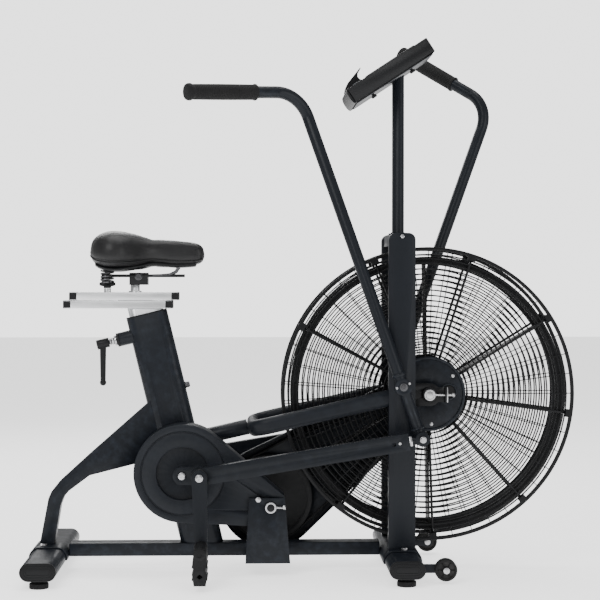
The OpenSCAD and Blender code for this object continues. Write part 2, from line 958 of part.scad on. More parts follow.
// A hollow slide rail, from x to x + slide_len.
module slide_tube(x, z) {
    translate([x, -slide_w / 2, z]) difference() {
        cube([slide_len, slide_w, slide_h]);
        translate([-1, 2, 2]) cube([slide_len + 2, slide_w - 4, slide_h - 4]);
    }
}

module slider_lower() {
    color(silver)
    difference() {
        slide_tube(lower_x, lower_z);
        translate([lower_x - 1, -5, lower_z + slide_h - 4]) cube([slide_len + 2, 10, 6]);
    }
}

module slide_caps(x, z) {
    for (side = [0, 1]) translate([x + side * slide_len, 0, z]) mirror([side, 0, 0]) {
        translate([-2, -slide_w / 2 - 1, 0]) cube([2 - seam, slide_w + 2, slide_h]);
        translate([-seam, -slide_w / 2 + 2 + seam, 2 + seam])
            cube([10, slide_w - 4 - 2 * seam, slide_h - 4 - 2 * seam]);
    }
}

module slider_lower_caps() { color(black) slide_caps(lower_x, lower_z); }

module slider_upper_caps() { color(black) slide_caps(upper_x, upper_z); }

module slider_upper() {
    key_x = pillar_x - 40;
    color(silver) {
        slide_tube(upper_x, upper_z);
        translate([key_x, -4.5, upper_z - 6]) cube([80, 9, 7]);
        translate([key_x, -9, upper_z - 7]) cube([80, 18, 3]);
        translate([pillar_x, 0, upper_z + slide_h - 1]) cylinder(d = pillar_d, h = 20);
        translate([pillar_x, 0, upper_z + slide_h - 1]) cylinder(d = 30, h = 4);
        translate([pillar_x - 64, 0, upper_z + slide_h - 1]) cylinder(d = 16, h = 10);
    }
}

module saddle_clamp() {
    color(black)
    difference() {
        union() {
            translate([pillar_x - 12, -22, upper_z + slide_h + clamp_up]) cube([42, 44, 28]);
            for (side = [-1, 1]) translate([pillar_x - 76, side * 20, upper_z + slide_h + clamp_up + 21])
                rotate([0, 90, 0]) cylinder(d = 7, h = 190);
        }
        translate([pillar_x, 0, upper_z]) cylinder(d = pillar_d + 2 * seam, h = slide_h + clamp_up + 3);
    }
}

module saddle() {
    color(black)
    hull() {
        for (side = [-1, 1]) translate([pillar_x - 49, side * 46, saddle_z])
            resize([110, 104, 94]) sphere(r = 50, $fn = 30);
        translate([pillar_x + 140, 0, saddle_z - 4]) resize([46, 42, 52]) sphere(r = 25, $fn = 30);
    }
}

module lock_lever() {
    hub_x = -114;
    color(black)
    on_mast() translate([0, 0, boss_z]) {
        translate([-boss_out - 26, 0, 0]) rotate([0, 90, 0]) cylinder(d = 10, h = 50);
        translate([-boss_out - 6, 0, 0]) rotate([0, 90, 0]) cylinder(d = 32, h = 5.5);
        translate([hub_x - 14, 0, 0]) rotate([0, 90, 0]) cylinder(d = 22, h = 28);
        translate([hub_x, 0, 0]) rotate([0, 180 + mast_lean, 0]) {
            cylinder(d1 = 15, d2 = 12, h = 90);
            translate([0, 0, 90]) sphere(d = 15);
        }
    }
}

// ---------- Assembly ----------

base_tube();
rear_stabilizer();
front_stabilizer();
stabilizer_caps();
leveling_feet();
frame_brackets();
rear_strut();
seat_mast();
mast_sleeve();
bottom_bracket();
crank_bearings();
top_tube();
top_fork_right();
top_fork_left();
upright_right();
upright_left();
upright_bridge();
console_mast();
idler_bracket_right();
idler_bracket_left();
crank_guard();
fan_belt_guard();
axle_brackets();
fan_axle();
cage_rim();
grille_right();
grille_left();
hub_plates();
fasteners();
belts();
console_housing();
console_screen();
console_plate();
console_button_right();
console_button_left();
transport_wheel_right();
transport_wheel_left();
crank_axle();
crank_pulley();
crank_right();
crank_left();
pedal_right();
pedal_left();
idler_pulleys();
fan_hub();
fan_wheel();
push_rod_right();
push_rod_left();
handlebar_right();
handlebar_left();
grip_right();
grip_left();
seat_post();
slider_lower();
slider_lower_caps();
slider_upper();
slider_upper_caps();
saddle_clamp();
saddle();
lock_lever();
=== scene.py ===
import math

import bmesh
import bpy
from mathutils import Matrix, Vector, noise


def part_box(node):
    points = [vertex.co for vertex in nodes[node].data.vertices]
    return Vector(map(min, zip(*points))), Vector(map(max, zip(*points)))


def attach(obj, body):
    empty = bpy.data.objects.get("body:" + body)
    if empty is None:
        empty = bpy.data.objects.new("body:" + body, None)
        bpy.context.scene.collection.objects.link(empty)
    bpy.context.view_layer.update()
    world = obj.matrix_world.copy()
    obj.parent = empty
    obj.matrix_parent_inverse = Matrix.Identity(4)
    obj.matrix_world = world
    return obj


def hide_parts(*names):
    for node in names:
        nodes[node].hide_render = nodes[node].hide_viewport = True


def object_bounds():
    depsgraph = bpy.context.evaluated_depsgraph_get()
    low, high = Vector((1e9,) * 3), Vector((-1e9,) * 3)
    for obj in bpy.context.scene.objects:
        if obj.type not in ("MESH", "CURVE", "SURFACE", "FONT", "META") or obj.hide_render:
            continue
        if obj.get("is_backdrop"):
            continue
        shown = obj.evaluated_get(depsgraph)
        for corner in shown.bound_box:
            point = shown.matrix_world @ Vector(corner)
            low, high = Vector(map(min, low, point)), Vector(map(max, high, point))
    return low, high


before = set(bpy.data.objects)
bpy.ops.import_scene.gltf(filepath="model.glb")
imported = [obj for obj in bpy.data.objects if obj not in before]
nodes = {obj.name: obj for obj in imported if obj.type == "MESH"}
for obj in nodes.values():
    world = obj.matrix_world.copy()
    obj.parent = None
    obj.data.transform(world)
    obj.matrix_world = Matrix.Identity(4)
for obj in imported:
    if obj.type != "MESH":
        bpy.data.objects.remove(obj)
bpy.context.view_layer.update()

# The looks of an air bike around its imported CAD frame. Metres, +X to the fan, +Y to the rider's left, +Z up.

SIDES = {"right": -1, "left": 1}
MM = 0.001


def middle(node):
    low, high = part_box(node)
    return (low + high) / 2


# ---------- Camera ----------

LENS = 97
SENSOR = 36
CAMERA_PLACE = (-0.1205, -3.75, 0.683)
CAMERA_PITCH = 0.89
CAMERA_YAW = 1.77

camera = bpy.data.objects.new("camera", bpy.data.cameras.new("camera"))
bpy.context.collection.objects.link(camera)
camera.data.lens = LENS
camera.data.sensor_width = SENSOR
camera.location = CAMERA_PLACE
camera.rotation_euler = (math.radians(90 - CAMERA_PITCH), 0, math.radians(-CAMERA_YAW))
bpy.context.scene.camera = camera


# ---------- Materials ----------

class Shader:
    """A material with a Principled shader, and short ways to add texture nodes to it."""

    def __init__(self, name, colour, metallic=0.0, coat=0.0, coat_rough=0.1, specular=0.5, sheen=0.0):
        self.material = bpy.data.materials.new(name)
        self.material.use_nodes = True
        self.tree = self.material.node_tree
        self.bsdf = self.tree.nodes["Principled BSDF"]
        self.material.diffuse_color = (*colour, 1)
        self.bsdf.inputs["Base Color"].default_value = (*colour, 1)
        self.bsdf.inputs["Metallic"].default_value = metallic
        self.bsdf.inputs["Coat Weight"].default_value = coat
        self.bsdf.inputs["Coat Roughness"].default_value = coat_rough
        self.bsdf.inputs["Specular IOR Level"].default_value = specular
        self.bsdf.inputs["Sheen Weight"].default_value = sheen
        self.place = self.add("ShaderNodeTexCoord").outputs["Object"]

    def add(self, kind, **values):
        node = self.tree.nodes.new(kind)
        for key, value in values.items():
            setattr(node, key, value)
        return node

    def link(self, output, target):
        self.tree.links.new(output, target)

    def stretched(self, factors):
        node = self.add("ShaderNodeMapping")
        node.inputs["Scale"].default_value = factors
        self.link(self.place, node.inputs["Vector"])
        return node.outputs["Vector"]

    def noise(self, scale, detail=4.0, rough=0.55, place=None):
        node = self.add("ShaderNodeTexNoise")
        node.inputs["Scale"].default_value = scale
        node.inputs["Detail"].default_value = detail
        node.inputs["Roughness"].default_value = rough
        self.link(place or self.place, node.inputs["Vector"])
        return node.outputs["Fac"]

    def cells(self, scale, feature="DISTANCE_TO_EDGE"):
        node = self.add("ShaderNodeTexVoronoi", feature=feature)
        node.inputs["Scale"].default_value = scale
        self.link(self.place, node.inputs["Vector"])
        return node.outputs["Distance"]

    def spread(self, value, low, high, to_low=0.0, to_high=1.0):
        node = self.add("ShaderNodeMapRange")
        self.link(value, node.inputs["Value"])
        node.inputs["From Min"].default_value = low
        node.inputs["From Max"].default_value = high
        node.inputs["To Min"].default_value = to_low
        node.inputs["To Max"].default_value = to_high
        return node.outputs["Result"]

    def maths(self, operation, first, second):
        node = self.add("ShaderNodeMath", operation=operation)
        for socket, value in zip(node.inputs, (first, second)):
            if isinstance(value, (int, float)):
                socket.default_value = value
            else:
                self.link(value, socket)
        return node.outputs["Value"]

    def mix(self, amount, first, second):
        node = self.add("ShaderNodeMix", data_type="RGBA")
        self.link(amount, node.inputs["Factor"])
        for socket, value in ((node.inputs[6], first), (node.inputs[7], second)):
            if isinstance(value, tuple):
                socket.default_value = (*value, 1)
            else:
                self.link(value, socket)
        return node.outputs[2]

    def edges(self, low=0.515, high=0.56):
        """1 along outer edges, 0 elsewhere: patchy rubbed wear on the paint, a painted edge highlight on the
        moulded plastic.
        """
        return self.spread(self.add("ShaderNodeNewGeometry").outputs["Pointiness"], low, high)

    def crevices(self, low=0.44, high=0.5):
        """1 in dusty inner corners, 0 elsewhere."""
        return self.spread(self.add("ShaderNodeNewGeometry").outputs["Pointiness"], low, high, 1.0, 0.0)

    def set_colour(self, output):
        self.link(output, self.bsdf.inputs["Base Color"])

    def set_rough(self, output):
        self.link(output, self.bsdf.inputs["Roughness"])

    def set_bump(self, *layers):
        """Each layer is (height, depth in metres); they lie on top of each other."""
        normal = None
        for height, depth in layers:
            bump = self.add("ShaderNodeBump")
            bump.inputs["Strength"].default_value = 1.0
            bump.inputs["Distance"].default_value = depth
            self.link(height, bump.inputs["Height"])
            if normal is not None:
                self.link(normal, bump.inputs["Normal"])
            normal = bump.outputs["Normal"]
        self.link(normal, self.bsdf.inputs["Normal"])


def lighter(colour, factor):
    return tuple(min(1.0, c * factor) for c in colour)


def powder_coat(name, colour, rough=0.42, grain=900, depth=0.00012, wear=0.5):
    """Satin paint with an orange-peel skin, cloudy sheen and rubbed edges."""
    s = Shader(name, colour, specular=0.15)
    cloud = s.noise(5, 3)
    fine = s.noise(grain, 2)
    speck = s.noise(2600, 1)
    body = s.mix(s.spread(cloud, 0.3, 0.7), lighter(colour, 0.93), lighter(colour, 1.08))
    body = s.mix(s.spread(speck, 0.62, 0.75, 0.0, 0.25), body, lighter(colour, 1.6))
    rub = s.maths("MULTIPLY", s.edges(), s.spread(s.noise(55, 5), 0.45, 0.7, 0.0, wear))
    body = s.mix(rub, body, lighter(colour, 3.2))
    s.set_colour(body)
    smear = s.spread(s.noise(26, 6, 0.6), 0.3, 0.75, rough - 0.03, rough + 0.04)
    s.set_rough(s.maths("SUBTRACT", smear, s.maths("MULTIPLY", rub, 0.15)))
    s.set_bump((fine, depth))
    return s.material


def moulded(name, colour, rough=0.48, grain=1400, depth=0.00008, scuff=0.35):
    """Injection-moulded plastic: fine spark-eroded grain, faint flow marks, scuffs, and a painted highlight
    along every outer edge.
    """
    s = Shader(name, colour, specular=0.18)
    grit = s.cells(grain, "F1")
    flow = s.noise(9, 4, 0.6, s.stretched((1.0, 1.0, 2.6)))
    scratch = s.noise(160, 3, 0.6, s.stretched((1.0, 8.0, 0.35)))
    body = s.mix(s.spread(flow, 0.32, 0.7), lighter(colour, 0.84), lighter(colour, 1.2))
    marks = s.spread(scratch, 0.66, 0.72, 0.0, scuff)
    body = s.mix(marks, body, lighter(colour, 2.0))
    # Painted highlight: every outer edge is lightened evenly, standing in for the light that the edges catch.
    body = s.mix(s.maths("MULTIPLY", s.edges(), 0.3), body, lighter(colour, 2.4))
    s.set_colour(body)
    s.set_rough(s.maths("ADD", s.spread(flow, 0.3, 0.7, rough - 0.05, rough + 0.06),
                        s.maths("MULTIPLY", marks, 0.2)))
    s.set_bump((grit, depth), (scratch, 0.00003))
    return s.material


def rubber(name, colour, rough=0.72, grain=700, depth=0.0002):
    """Matt rubber with a fine pebble, dust in the corners and a dry bloom."""
    s = Shader(name, colour, specular=0.2, sheen=0.02)
    pebble = s.noise(grain, 3, 0.6)
    bloom = s.noise(14, 5, 0.62)
    body = s.mix(s.spread(bloom, 0.35, 0.75), lighter(colour, 0.85), lighter(colour, 1.5))
    dust = s.maths("MULTIPLY", s.crevices(), s.spread(bloom, 0.4, 0.7, 0.05, 0.35))
    s.set_colour(s.mix(dust, body, (0.16, 0.155, 0.15)))
    s.set_rough(s.spread(bloom, 0.3, 0.7, rough - 0.08, rough + 0.1))
    s.set_bump((pebble, depth), (bloom, 0.00025))
    return s.material


def brushed(name, colour, rough=0.3, stretch=(1.0, 30.0, 30.0), depth=0.00002, tarnish=0.3):
    """Bare or plated metal: long drawn grain, hairline scratches and dull patches."""
    s = Shader(name, colour, metallic=1.0)
    grain = s.noise(60, 4, 0.65, s.stretched(stretch))
    dull = s.noise(22, 5, 0.6)
    hair = s.noise(420, 2, 0.5, s.stretched(stretch))
    body = s.mix(s.spread(dull, 0.4, 0.75, 0.0, tarnish), colour, lighter(colour, 0.62))
    body = s.mix(s.spread(grain, 0.35, 0.7, 0.0, 0.3), body, lighter(colour, 0.8))
    s.set_colour(body)
    s.set_rough(s.maths("ADD", s.spread(grain, 0.3, 0.7, rough - 0.06, rough + 0.08),
                        s.spread(dull, 0.45, 0.75, 0.0, 0.14)))
    s.set_bump((hair, depth), (grain, depth * 2))
    return s.material


def leather(name, colour):
    """Black saddle cover: fine pebbled grain over soft creases, polished where it is sat on."""
    s = Shader(name, colour, specular=0.28, coat=0.1, coat_rough=0.28)
    pebble = s.cells(520)
    pores = s.cells(1300, "F1")
    crease = s.noise(38, 5, 0.62)
    worn = s.noise(7, 3, 0.5)
    valley = s.spread(pebble, 0.0, 0.18)
    body = s.mix(valley, lighter(colour, 0.55), lighter(colour, 1.15))
    body = s.mix(s.spread(worn, 0.4, 0.7, 0.0, 0.4), body, lighter(colour, 1.9))
    s.set_colour(body)
    polish = s.spread(worn, 0.35, 0.7, 0.42, 0.3)
    s.set_rough(s.maths("ADD", polish, s.spread(valley, 0.0, 1.0, 0.14, 0.0)))
    s.set_bump((valley, 0.00012), (pores, 0.00003), (crease, 0.0005))
    return s.material


def display(name):
    """Dark LCD glass with faint ghost cells and fingerprints."""
    s = Shader(name, (0.012, 0.016, 0.018), coat=0.8, coat_rough=0.04, specular=0.6)
    cells = s.add("ShaderNodeTexBrick", offset=0.0)
    cells.inputs["Scale"].default_value = 26
    cells.inputs["Mortar Size"].default_value = 0.035
    cells.inputs["Color1"].default_value = (0.013, 0.019, 0.018, 1)
    cells.inputs["Color2"].default_value = (0.018, 0.025, 0.023, 1)
    cells.inputs["Mortar"].default_value = (0.007, 0.009, 0.01, 1)
    s.link(s.place, cells.inputs["Vector"])
    print_mark = s.noise(30, 6, 0.7)
    smudge = s.spread(print_mark, 0.55, 0.75, 0.0, 0.35)
    s.set_colour(s.mix(smudge, cells.outputs["Color"], (0.035, 0.04, 0.04)))
    s.set_rough(s.spread(print_mark, 0.4, 0.7, 0.08, 0.3))
    s.set_bump((print_mark, 0.00004))
    return s.material


CHARCOAL = (0.0072, 0.0088, 0.0118)
INK = (0.005, 0.0052, 0.0058)
FINISH = {
    "frame_paint": powder_coat("frame_paint", CHARCOAL),
    "arm_paint": powder_coat("arm_paint", lighter(CHARCOAL, 0.85), rough=0.4, grain=1100),
    "bar_paint": powder_coat("bar_paint", lighter(CHARCOAL, 0.95), rough=0.38, grain=1300),
    "cage_paint": powder_coat("cage_paint", INK, rough=0.36, grain=1500, depth=0.00008, wear=0.3),
    "fan_paint": powder_coat("fan_paint", lighter(INK, 0.9), rough=0.45, grain=1200, wear=0.3),
    "cover_paint": moulded("cover_paint", lighter(CHARCOAL, 0.9), rough=0.46),
    "black_plastic": moulded("black_plastic", INK, rough=0.42, grain=1700),
    "pedal_plastic": moulded("pedal_plastic", INK, rough=0.55, grain=900, depth=0.00015),
    "black_rubber": rubber("black_rubber", (0.007, 0.007, 0.0074)),
    "grip_foam": rubber("grip_foam", (0.006, 0.006, 0.0063), rough=0.8, grain=1500, depth=0.0004),
    "wheel_tread": rubber("wheel_tread", (0.006, 0.006, 0.0063), rough=0.62, grain=500),
    "belt_rubber": rubber("belt_rubber", (0.006, 0.006, 0.006), rough=0.78, grain=1200),
    "button_rubber": rubber("button_rubber", (0.09, 0.095, 0.1), rough=0.6, grain=1600, depth=0.00008),
    "bolt_steel": brushed("bolt_steel", (0.46, 0.46, 0.47), rough=0.28, stretch=(6.0, 6.0, 6.0)),
    "dark_steel": brushed(
        "dark_steel", (0.09, 0.09, 0.095), rough=0.34, stretch=(5.0, 5.0, 5.0), tarnish=0.5),
    "console_plate_steel": brushed(
        "console_plate_steel", (0.07, 0.072, 0.078), rough=0.38, stretch=(1.0, 26.0, 26.0)),
    "slide_aluminium": brushed(
        "slide_aluminium", (0.72, 0.73, 0.74), rough=0.34, stretch=(0.7, 34.0, 34.0)),
    "post_aluminium": brushed(
        "post_aluminium", (0.58, 0.59, 0.6), rough=0.36, stretch=(34.0, 34.0, 0.7)),
    "saddle_leather": leather("saddle_leather", (0.0032, 0.0032, 0.0037)),
    "screen_glass": display("screen_glass"),
}

NODE_FINISH = {
    "frame_paint": "base_tube rear_stabilizer front_stabilizer frame_brackets rear_strut seat_mast"
                   " bottom_bracket top_tube top_fork_right top_fork_left upright_right upright_left"
                   " upright_bridge console_mast idler_bracket_right idler_bracket_left",
    "arm_paint": "crank_right crank_left push_rod_right push_rod_left hub_plates",
    "bar_paint": "handlebar_right handlebar_left",
    "cage_paint": "cage_rim grille_right grille_left axle_brackets",
    "fan_paint": "fan_wheel fan_hub",
    "cover_paint": "crank_guard fan_belt_guard",
    "black_plastic": "stabilizer_caps slider_lower_caps slider_upper_caps mast_sleeve console_housing"
                     " crank_pulley idler_pulleys lock_lever saddle_clamp saddle",
    "pedal_plastic": "pedal_right pedal_left",
    "black_rubber": "leveling_feet",
    "grip_foam": "grip_right grip_left",
    "wheel_tread": "transport_wheel_right transport_wheel_left",
    "belt_rubber": "belts",
    "button_rubber": "console_button_right console_button_left",
    "bolt_steel": "fasteners crank_axle crank_bearings fan_axle",
    "console_plate_steel": "console_plate",
    "slide_aluminium": "slider_lower slider_upper",
    "post_aluminium": "seat_post",
    "screen_glass": "console_screen",
}


def soften(obj, width, segments=2, angle=32):
    """Rounds the hard edges of a piece and shades its curved faces smoothly."""
    weld = obj.modifiers.new("weld", "WELD")
    weld.merge_threshold = 0.00002
    bevel = obj.modifiers.new("bevel", "BEVEL")
    bevel.width = width
    bevel.segments = segments
    bevel.limit_method = "ANGLE"
    bevel.angle_limit = math.radians(angle)
    bevel.harden_normals = True
    bevel.use_clamp_overlap = True
    for face in obj.data.polygons:
        face.use_smooth = True


EDGE_ROUNDS = {
    "stabilizer_caps": 0.0016, "crank_guard": 0.002, "fan_belt_guard": 0.0015, "console_housing": 0.004,
    "upright_right": 0.002, "upright_left": 0.002, "rear_strut": 0.004, "hub_plates": 0.0008,
    "fasteners": 0.0005, "belts": 0.0004, "grille_right": 0.0005, "grille_left": 0.0005,
    "fan_wheel": 0.0006, "crank_right": 0.0016, "crank_left": 0.0016, "push_rod_right": 0.002,
    "push_rod_left": 0.002, "base_tube": 0.0025, "pedal_right": 0.0015, "pedal_left": 0.0015,
    "upright_bridge": 0.002, "leveling_feet": 0.0015, "slider_lower": 0.0009, "slider_upper": 0.0009,
}

for finish_name, members in NODE_FINISH.items():
    for node_name in members.split():
        node = nodes[node_name]
        for material_slot in node.material_slots:
            material_slot.material = FINISH[finish_name]
        soften(node, EDGE_ROUNDS.get(node_name, 0.0008))


# ---------- Mesh building ----------

def across(axis):
    """Two unit vectors at right angles to an axis."""
    axis = Vector(axis).normalized()
    side = axis.cross(Vector((0, 0, 1)) if abs(axis.z) < 0.9 else Vector((1, 0, 0))).normalized()
    return side, axis.cross(side).normalized()


class Piece:
    """Gathers mesh parts that end up as one object."""

    def __init__(self):
        self.bm = bmesh.new()

    def bridge(self, rings, closed=False):
        """Faces between rings of equal length, or between a ring and a single point."""
        pairs = list(zip(rings, rings[1:])) + ([(rings[-1], rings[0])] if closed else [])
        for a, b in pairs:
            if len(a) == 1 and len(b) == 1:
                continue
            n = max(len(a), len(b))
            for i in range(n):
                j = (i + 1) % n
                corners = [a[i % len(a)], a[j % len(a)], b[j % len(b)], b[i % len(b)]]
                unique = list(dict.fromkeys(corners))
                if len(unique) > 2:
                    self.bm.faces.new(unique)

    def lathe(self, place, axis, profile, sides=32):
        """profile holds (radius, height along the axis); a radius of 0 closes the end."""
        place, axis = Vector(place), Vector(axis).normalized()
        u, v = across(axis)
        rings = []
        for radius, height in profile:
            middle_point = place + axis * height
            if radius == 0:
                rings.append([self.bm.verts.new(middle_point)])
                continue
            rings.append([
                self.bm.verts.new(middle_point + radius * (
                    math.cos(2 * math.pi * i / sides) * u + math.sin(2 * math.pi * i / sides) * v))
                for i in range(sides)
            ])
        self.bridge(rings)
        return self

    def sweep(self, points, radius, sides=12, closed=False):
        """A round bar along points; radius is one number or one per point."""
        points = [Vector(p) for p in points]
        count = len(points)
        radii = radius if isinstance(radius, (list, tuple)) else [radius] * count
        normal = None
        rings = []
        for k, point in enumerate(points):
            if closed:
                along = points[(k + 1) % count] - points[k - 1]
            else:
                along = points[min(k + 1, count - 1)] - points[max(k - 1, 0)]
            along.normalize()
            if normal is None:
                normal = across(along)[0]
            normal = (normal - along * normal.dot(along)).normalized()
            other = along.cross(normal)
            rings.append([
                self.bm.verts.new(point + radii[k] * (
                    math.cos(2 * math.pi * i / sides) * normal
                    + math.sin(2 * math.pi * i / sides) * other))
                for i in range(sides)
            ])
        self.bridge(rings, closed)
        if not closed:
            self.bm.faces.new(rings[0])
            self.bm.faces.new(rings[-1])
        return self

    def hoop(self, centre, axis, big, small, steps=96, sides=8):
        """A closed ring of radius big from a bar of radius small."""
        u, v = across(axis)
        angles = [2 * math.pi * i / steps for i in range(steps)]
        ring = [Vector(centre) + big * (math.cos(a) * u + math.sin(a) * v) for a in angles]
        return self.sweep(ring, small, sides, closed=True)

    def plate(self, frame_matrix, outline, low, high):
        """An outline in X and Y, drawn between two heights of the given frame."""
        under = [self.bm.verts.new(frame_matrix @ Vector((x, y, low))) for x, y in outline]
        over = [self.bm.verts.new(frame_matrix @ Vector((x, y, high))) for x, y in outline]
        self.bridge([under, over])
        self.bm.faces.new(under)
        self.bm.faces.new(over)
        return self

    def done(self, name, body, finish, slot, bevel=0.0, angle=32):
        """Turns the parts into an object that rides on a body."""
        bmesh.ops.recalc_face_normals(self.bm, faces=self.bm.faces)
        mesh = bpy.data.meshes.new(name)
        self.bm.to_mesh(mesh)
        self.bm.free()
        obj = bpy.data.objects.new(name, mesh)
        bpy.context.collection.objects.link(obj)
        mesh.materials.append(FINISH[finish])
        if bevel:
            soften(obj, bevel, angle=angle)
        else:
            for face in mesh.polygons:
                face.use_smooth = True
        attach(obj, body)
        return obj


def bolt_profile(radius, height, socket=0.5, depth=0.5):
    """A chamfered head with a round drive socket, standing on height 0."""
    return [
        (0, 0), (radius, 0), (radius, height * 0.62), (radius * 0.93, height * 0.86), (radius * 0.8, height),
        (radius * socket, height), (radius * socket * 0.94, height * (1 - depth)), (0, height * (1 - depth)),
    ]


def washer_profile(radius, height, hole):
    """A flat washer with broken edges."""
    return [(hole, 0), (radius * 0.97, 0), (radius, height * 0.3), (radius, height * 0.75),
            (radius * 0.95, height), (hole, height), (hole, 0)]


# ---------- Places, from the CAD nodes ----------

CRANK = middle("crank_axle")
FAN = middle("fan_axle")
UPRIGHT = middle("upright_right")
PIVOT_Z = 0.4315
LEVER_Y = 0.133
PIN_OFFSET = 0.040
ROD_FACE = 0.172
ARM_FACE = 0.189
HUB_FACE = 0.147
SWING = math.radians(19.5)
LEVER_DROP = 0.122
MAST_LEAN = math.radians(13.6)
CAGE_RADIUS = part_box("cage_rim")[1].x - FAN.x
CONSOLE = Matrix.Translation((0.1205, 0, 1.0714)) @ Matrix.Rotation(math.radians(-33.2), 4, "Y")
CONSOLE_W, CONSOLE_T = 0.190, 0.038
MAST = Matrix.Translation((CRANK.x, 0, CRANK.z)) @ Matrix.Rotation(-MAST_LEAN, 4, "Y")
PILLAR_X = CRANK.x - 0.113
UPPER_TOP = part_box("slider_upper_caps")[1].z


def bolts(name, body, finish, places, washer=1.2):
    """Socket bolts on washers. Each place is (point, direction, head radius, head height)."""
    piece = Piece()
    for point, direction, radius, height in places:
        point, direction = Vector(point), Vector(direction).normalized()
        thick = 0.0012
        piece.lathe(point, direction, washer_profile(radius * washer, thick, radius * 0.5), 28)
        piece.lathe(point + direction * thick, direction, bolt_profile(radius, height - thick), 24)
    return piece.done(name, body, finish, "bolt_steel", bevel=0.00025, angle=40)


def hex_nut(piece, place, axis, across_flats, height):
    """A chamfered nut standing on its place."""
    radius = across_flats / 2 / math.cos(math.pi / 6)
    piece.lathe(place, axis, [
        (across_flats * 0.3, 0), (radius * 0.93, 0), (radius, height * 0.14), (radius, height * 0.86),
        (radius * 0.93, height), (across_flats * 0.3, height), (across_flats * 0.3, 0)], 6)


def thread(piece, place, axis, radius, length, pitch):
    """The threaded end of a bolt, as stacked V rings."""
    turns = int(length / pitch)
    profile = [(0, 0), (radius * 0.88, 0)]
    for i in range(turns):
        profile += [(radius, (i + 0.5) * pitch), (radius * 0.88, (i + 1) * pitch)]
    piece.lathe(place, axis, profile + [(0, turns * pitch)], 20)


# ---------- Saddle ----------

# Distance forward, half width, lowest and highest point, and depth of the middle channel, in millimetres.
SADDLE_SHAPE = [
    (-487, 30, 724, 748, 0), (-482, 58, 712, 766, 1), (-468, 82, 700, 780, 3), (-446, 98, 693, 787, 5),
    (-420, 99, 692, 786, 6), (-395, 84, 695, 780, 6), (-370, 62, 699, 772, 5), (-345, 45, 704, 766, 4),
    (-318, 35, 703, 766, 3), (-290, 31, 701, 765, 2), (-262, 28, 702, 763, 1), (-240, 25, 705, 759, 0),
    (-228, 17, 712, 750, 0),
]
WAIST_SHARE = 0.36        # height of the widest line, as a share of the section
CROWN, SKIRT = 0.72, 0.5  # roundness of the section over and under that line
SQUARENESS = 0.8
TUCK = 0.12               # how far the skirt pulls in under the rider
CHANNEL_WIDTH = 15
SEAM_ANGLE = math.radians(-26)
STITCH_ANGLE = math.radians(-17)


def smooth_rows(rows, steps):
    """Catmull-Rom interpolation between rows of numbers."""
    out = []
    for k in range(len(rows) - 1):
        a, b, c, d = (rows[max(0, min(len(rows) - 1, k + o))] for o in (-1, 0, 1, 2))
        for s in range(steps):
            t = s / steps
            out.append(tuple(
                0.5 * (2 * q + (r - p) * t + (2 * p - 5 * q + 4 * r - u) * t * t
                       + (3 * q - p - 3 * r + u) * t ** 3)
                for p, q, r, u in zip(a, b, c, d)))
    out.append(rows[-1])
    return out


def saddle_point(row, angle, inset=0.0):
    """A point on the saddle's skin: angle 0 points to the rider's left, a quarter turn straight up."""
    x, half, low, high, channel = row
    waist = low + WAIST_SHARE * (high - low)
    cosine, sine = math.cos(angle), math.sin(angle)
    y = (half - inset) * math.copysign(abs(cosine) ** (CROWN if sine >= 0 else SKIRT), cosine)
    if sine >= 0:
        z = waist + (high - waist - inset) * sine ** SQUARENESS
        z -= channel * math.exp(-(y / CHANNEL_WIDTH) ** 2)
    else:
        y *= 1 - TUCK * abs(sine)
        z = waist - (waist - low - inset) * abs(sine) ** SQUARENESS
    return Vector((x, y, z)) * MM


def saddle_loft(rows, inset, sides=40):
    piece = Piece()
    rings = [[piece.bm.verts.new(saddle_point(row, 2 * math.pi * i / sides, inset)) for i in range(sides)]
             for row in rows]
    piece.bridge(rings)
    for ring, out in ((rings[0], -0.0035), (rings[-1], 0.0035)):
        centre = sum((v.co for v in ring), Vector()) / sides
        tip = piece.bm.verts.new(centre + Vector((out, 0, 0)))
        piece.bridge([ring, [tip]])
    return piece


def applied(obj):
    """The object's mesh with its modifiers worked in."""
    return bpy.data.meshes.new_from_object(obj.evaluated_get(bpy.context.evaluated_depsgraph_get()))


def puff(obj, voxel=0.0048, pressure=4.0, cap=0.006, frames=20):
    """Swells a closed mesh with a short cloth simulation, no point moving further than cap."""
    remesh = obj.modifiers.new("remesh", "REMESH")
    remesh.mode = "VOXEL"
    remesh.voxel_size = voxel
    mesh = applied(obj)
    obj.modifiers.clear()
    obj.data = mesh
    before = [v.co.copy() for v in mesh.vertices]
    cloth = obj.modifiers.new("cloth", "CLOTH")
    cloth.settings.use_pressure = True
    cloth.settings.uniform_pressure_force = pressure
    cloth.settings.tension_stiffness = 25
    cloth.settings.compression_stiffness = 25
    cloth.settings.bending_stiffness = 6
    cloth.settings.effector_weights.gravity = 0
    cloth.point_cache.frame_start = 1
    cloth.point_cache.frame_end = frames
    for frame_number in range(1, frames + 1):
        bpy.context.scene.frame_set(frame_number)
    moved = [v.co.copy() for v in applied(obj).vertices]
    obj.modifiers.clear()
    bpy.context.scene.frame_set(1)
    for vertex, old, new in zip(mesh.vertices, before, moved):
        step = new - old
        vertex.co = old + (step * (cap / step.length) if step.length > cap else step)
    smoothing = obj.modifiers.new("smooth", "SMOOTH")
    smoothing.factor = 0.5
    smoothing.iterations = 3
    subdivide = obj.modifiers.new("subdivide", "SUBSURF")
    subdivide.levels = subdivide.render_levels = 1
    mesh = applied(obj)
    obj.modifiers.clear()
    obj.data = mesh
    for face in mesh.polygons:
        face.use_smooth = True


saddle_rows = smooth_rows(SADDLE_SHAPE, 3)

cover = saddle_loft(saddle_rows, 3.0).done("saddle_cover", "carriage", "saddle_leather", "saddle_leather")
puff(cover)
CREASE_SCALE, CREASE_DEPTH = 42, 0.0005
for vertex in cover.data.vertices:
    pull = noise.noise(vertex.co * CREASE_SCALE) * CREASE_DEPTH
    vertex.co = vertex.co + vertex.normal * pull
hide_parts("saddle")


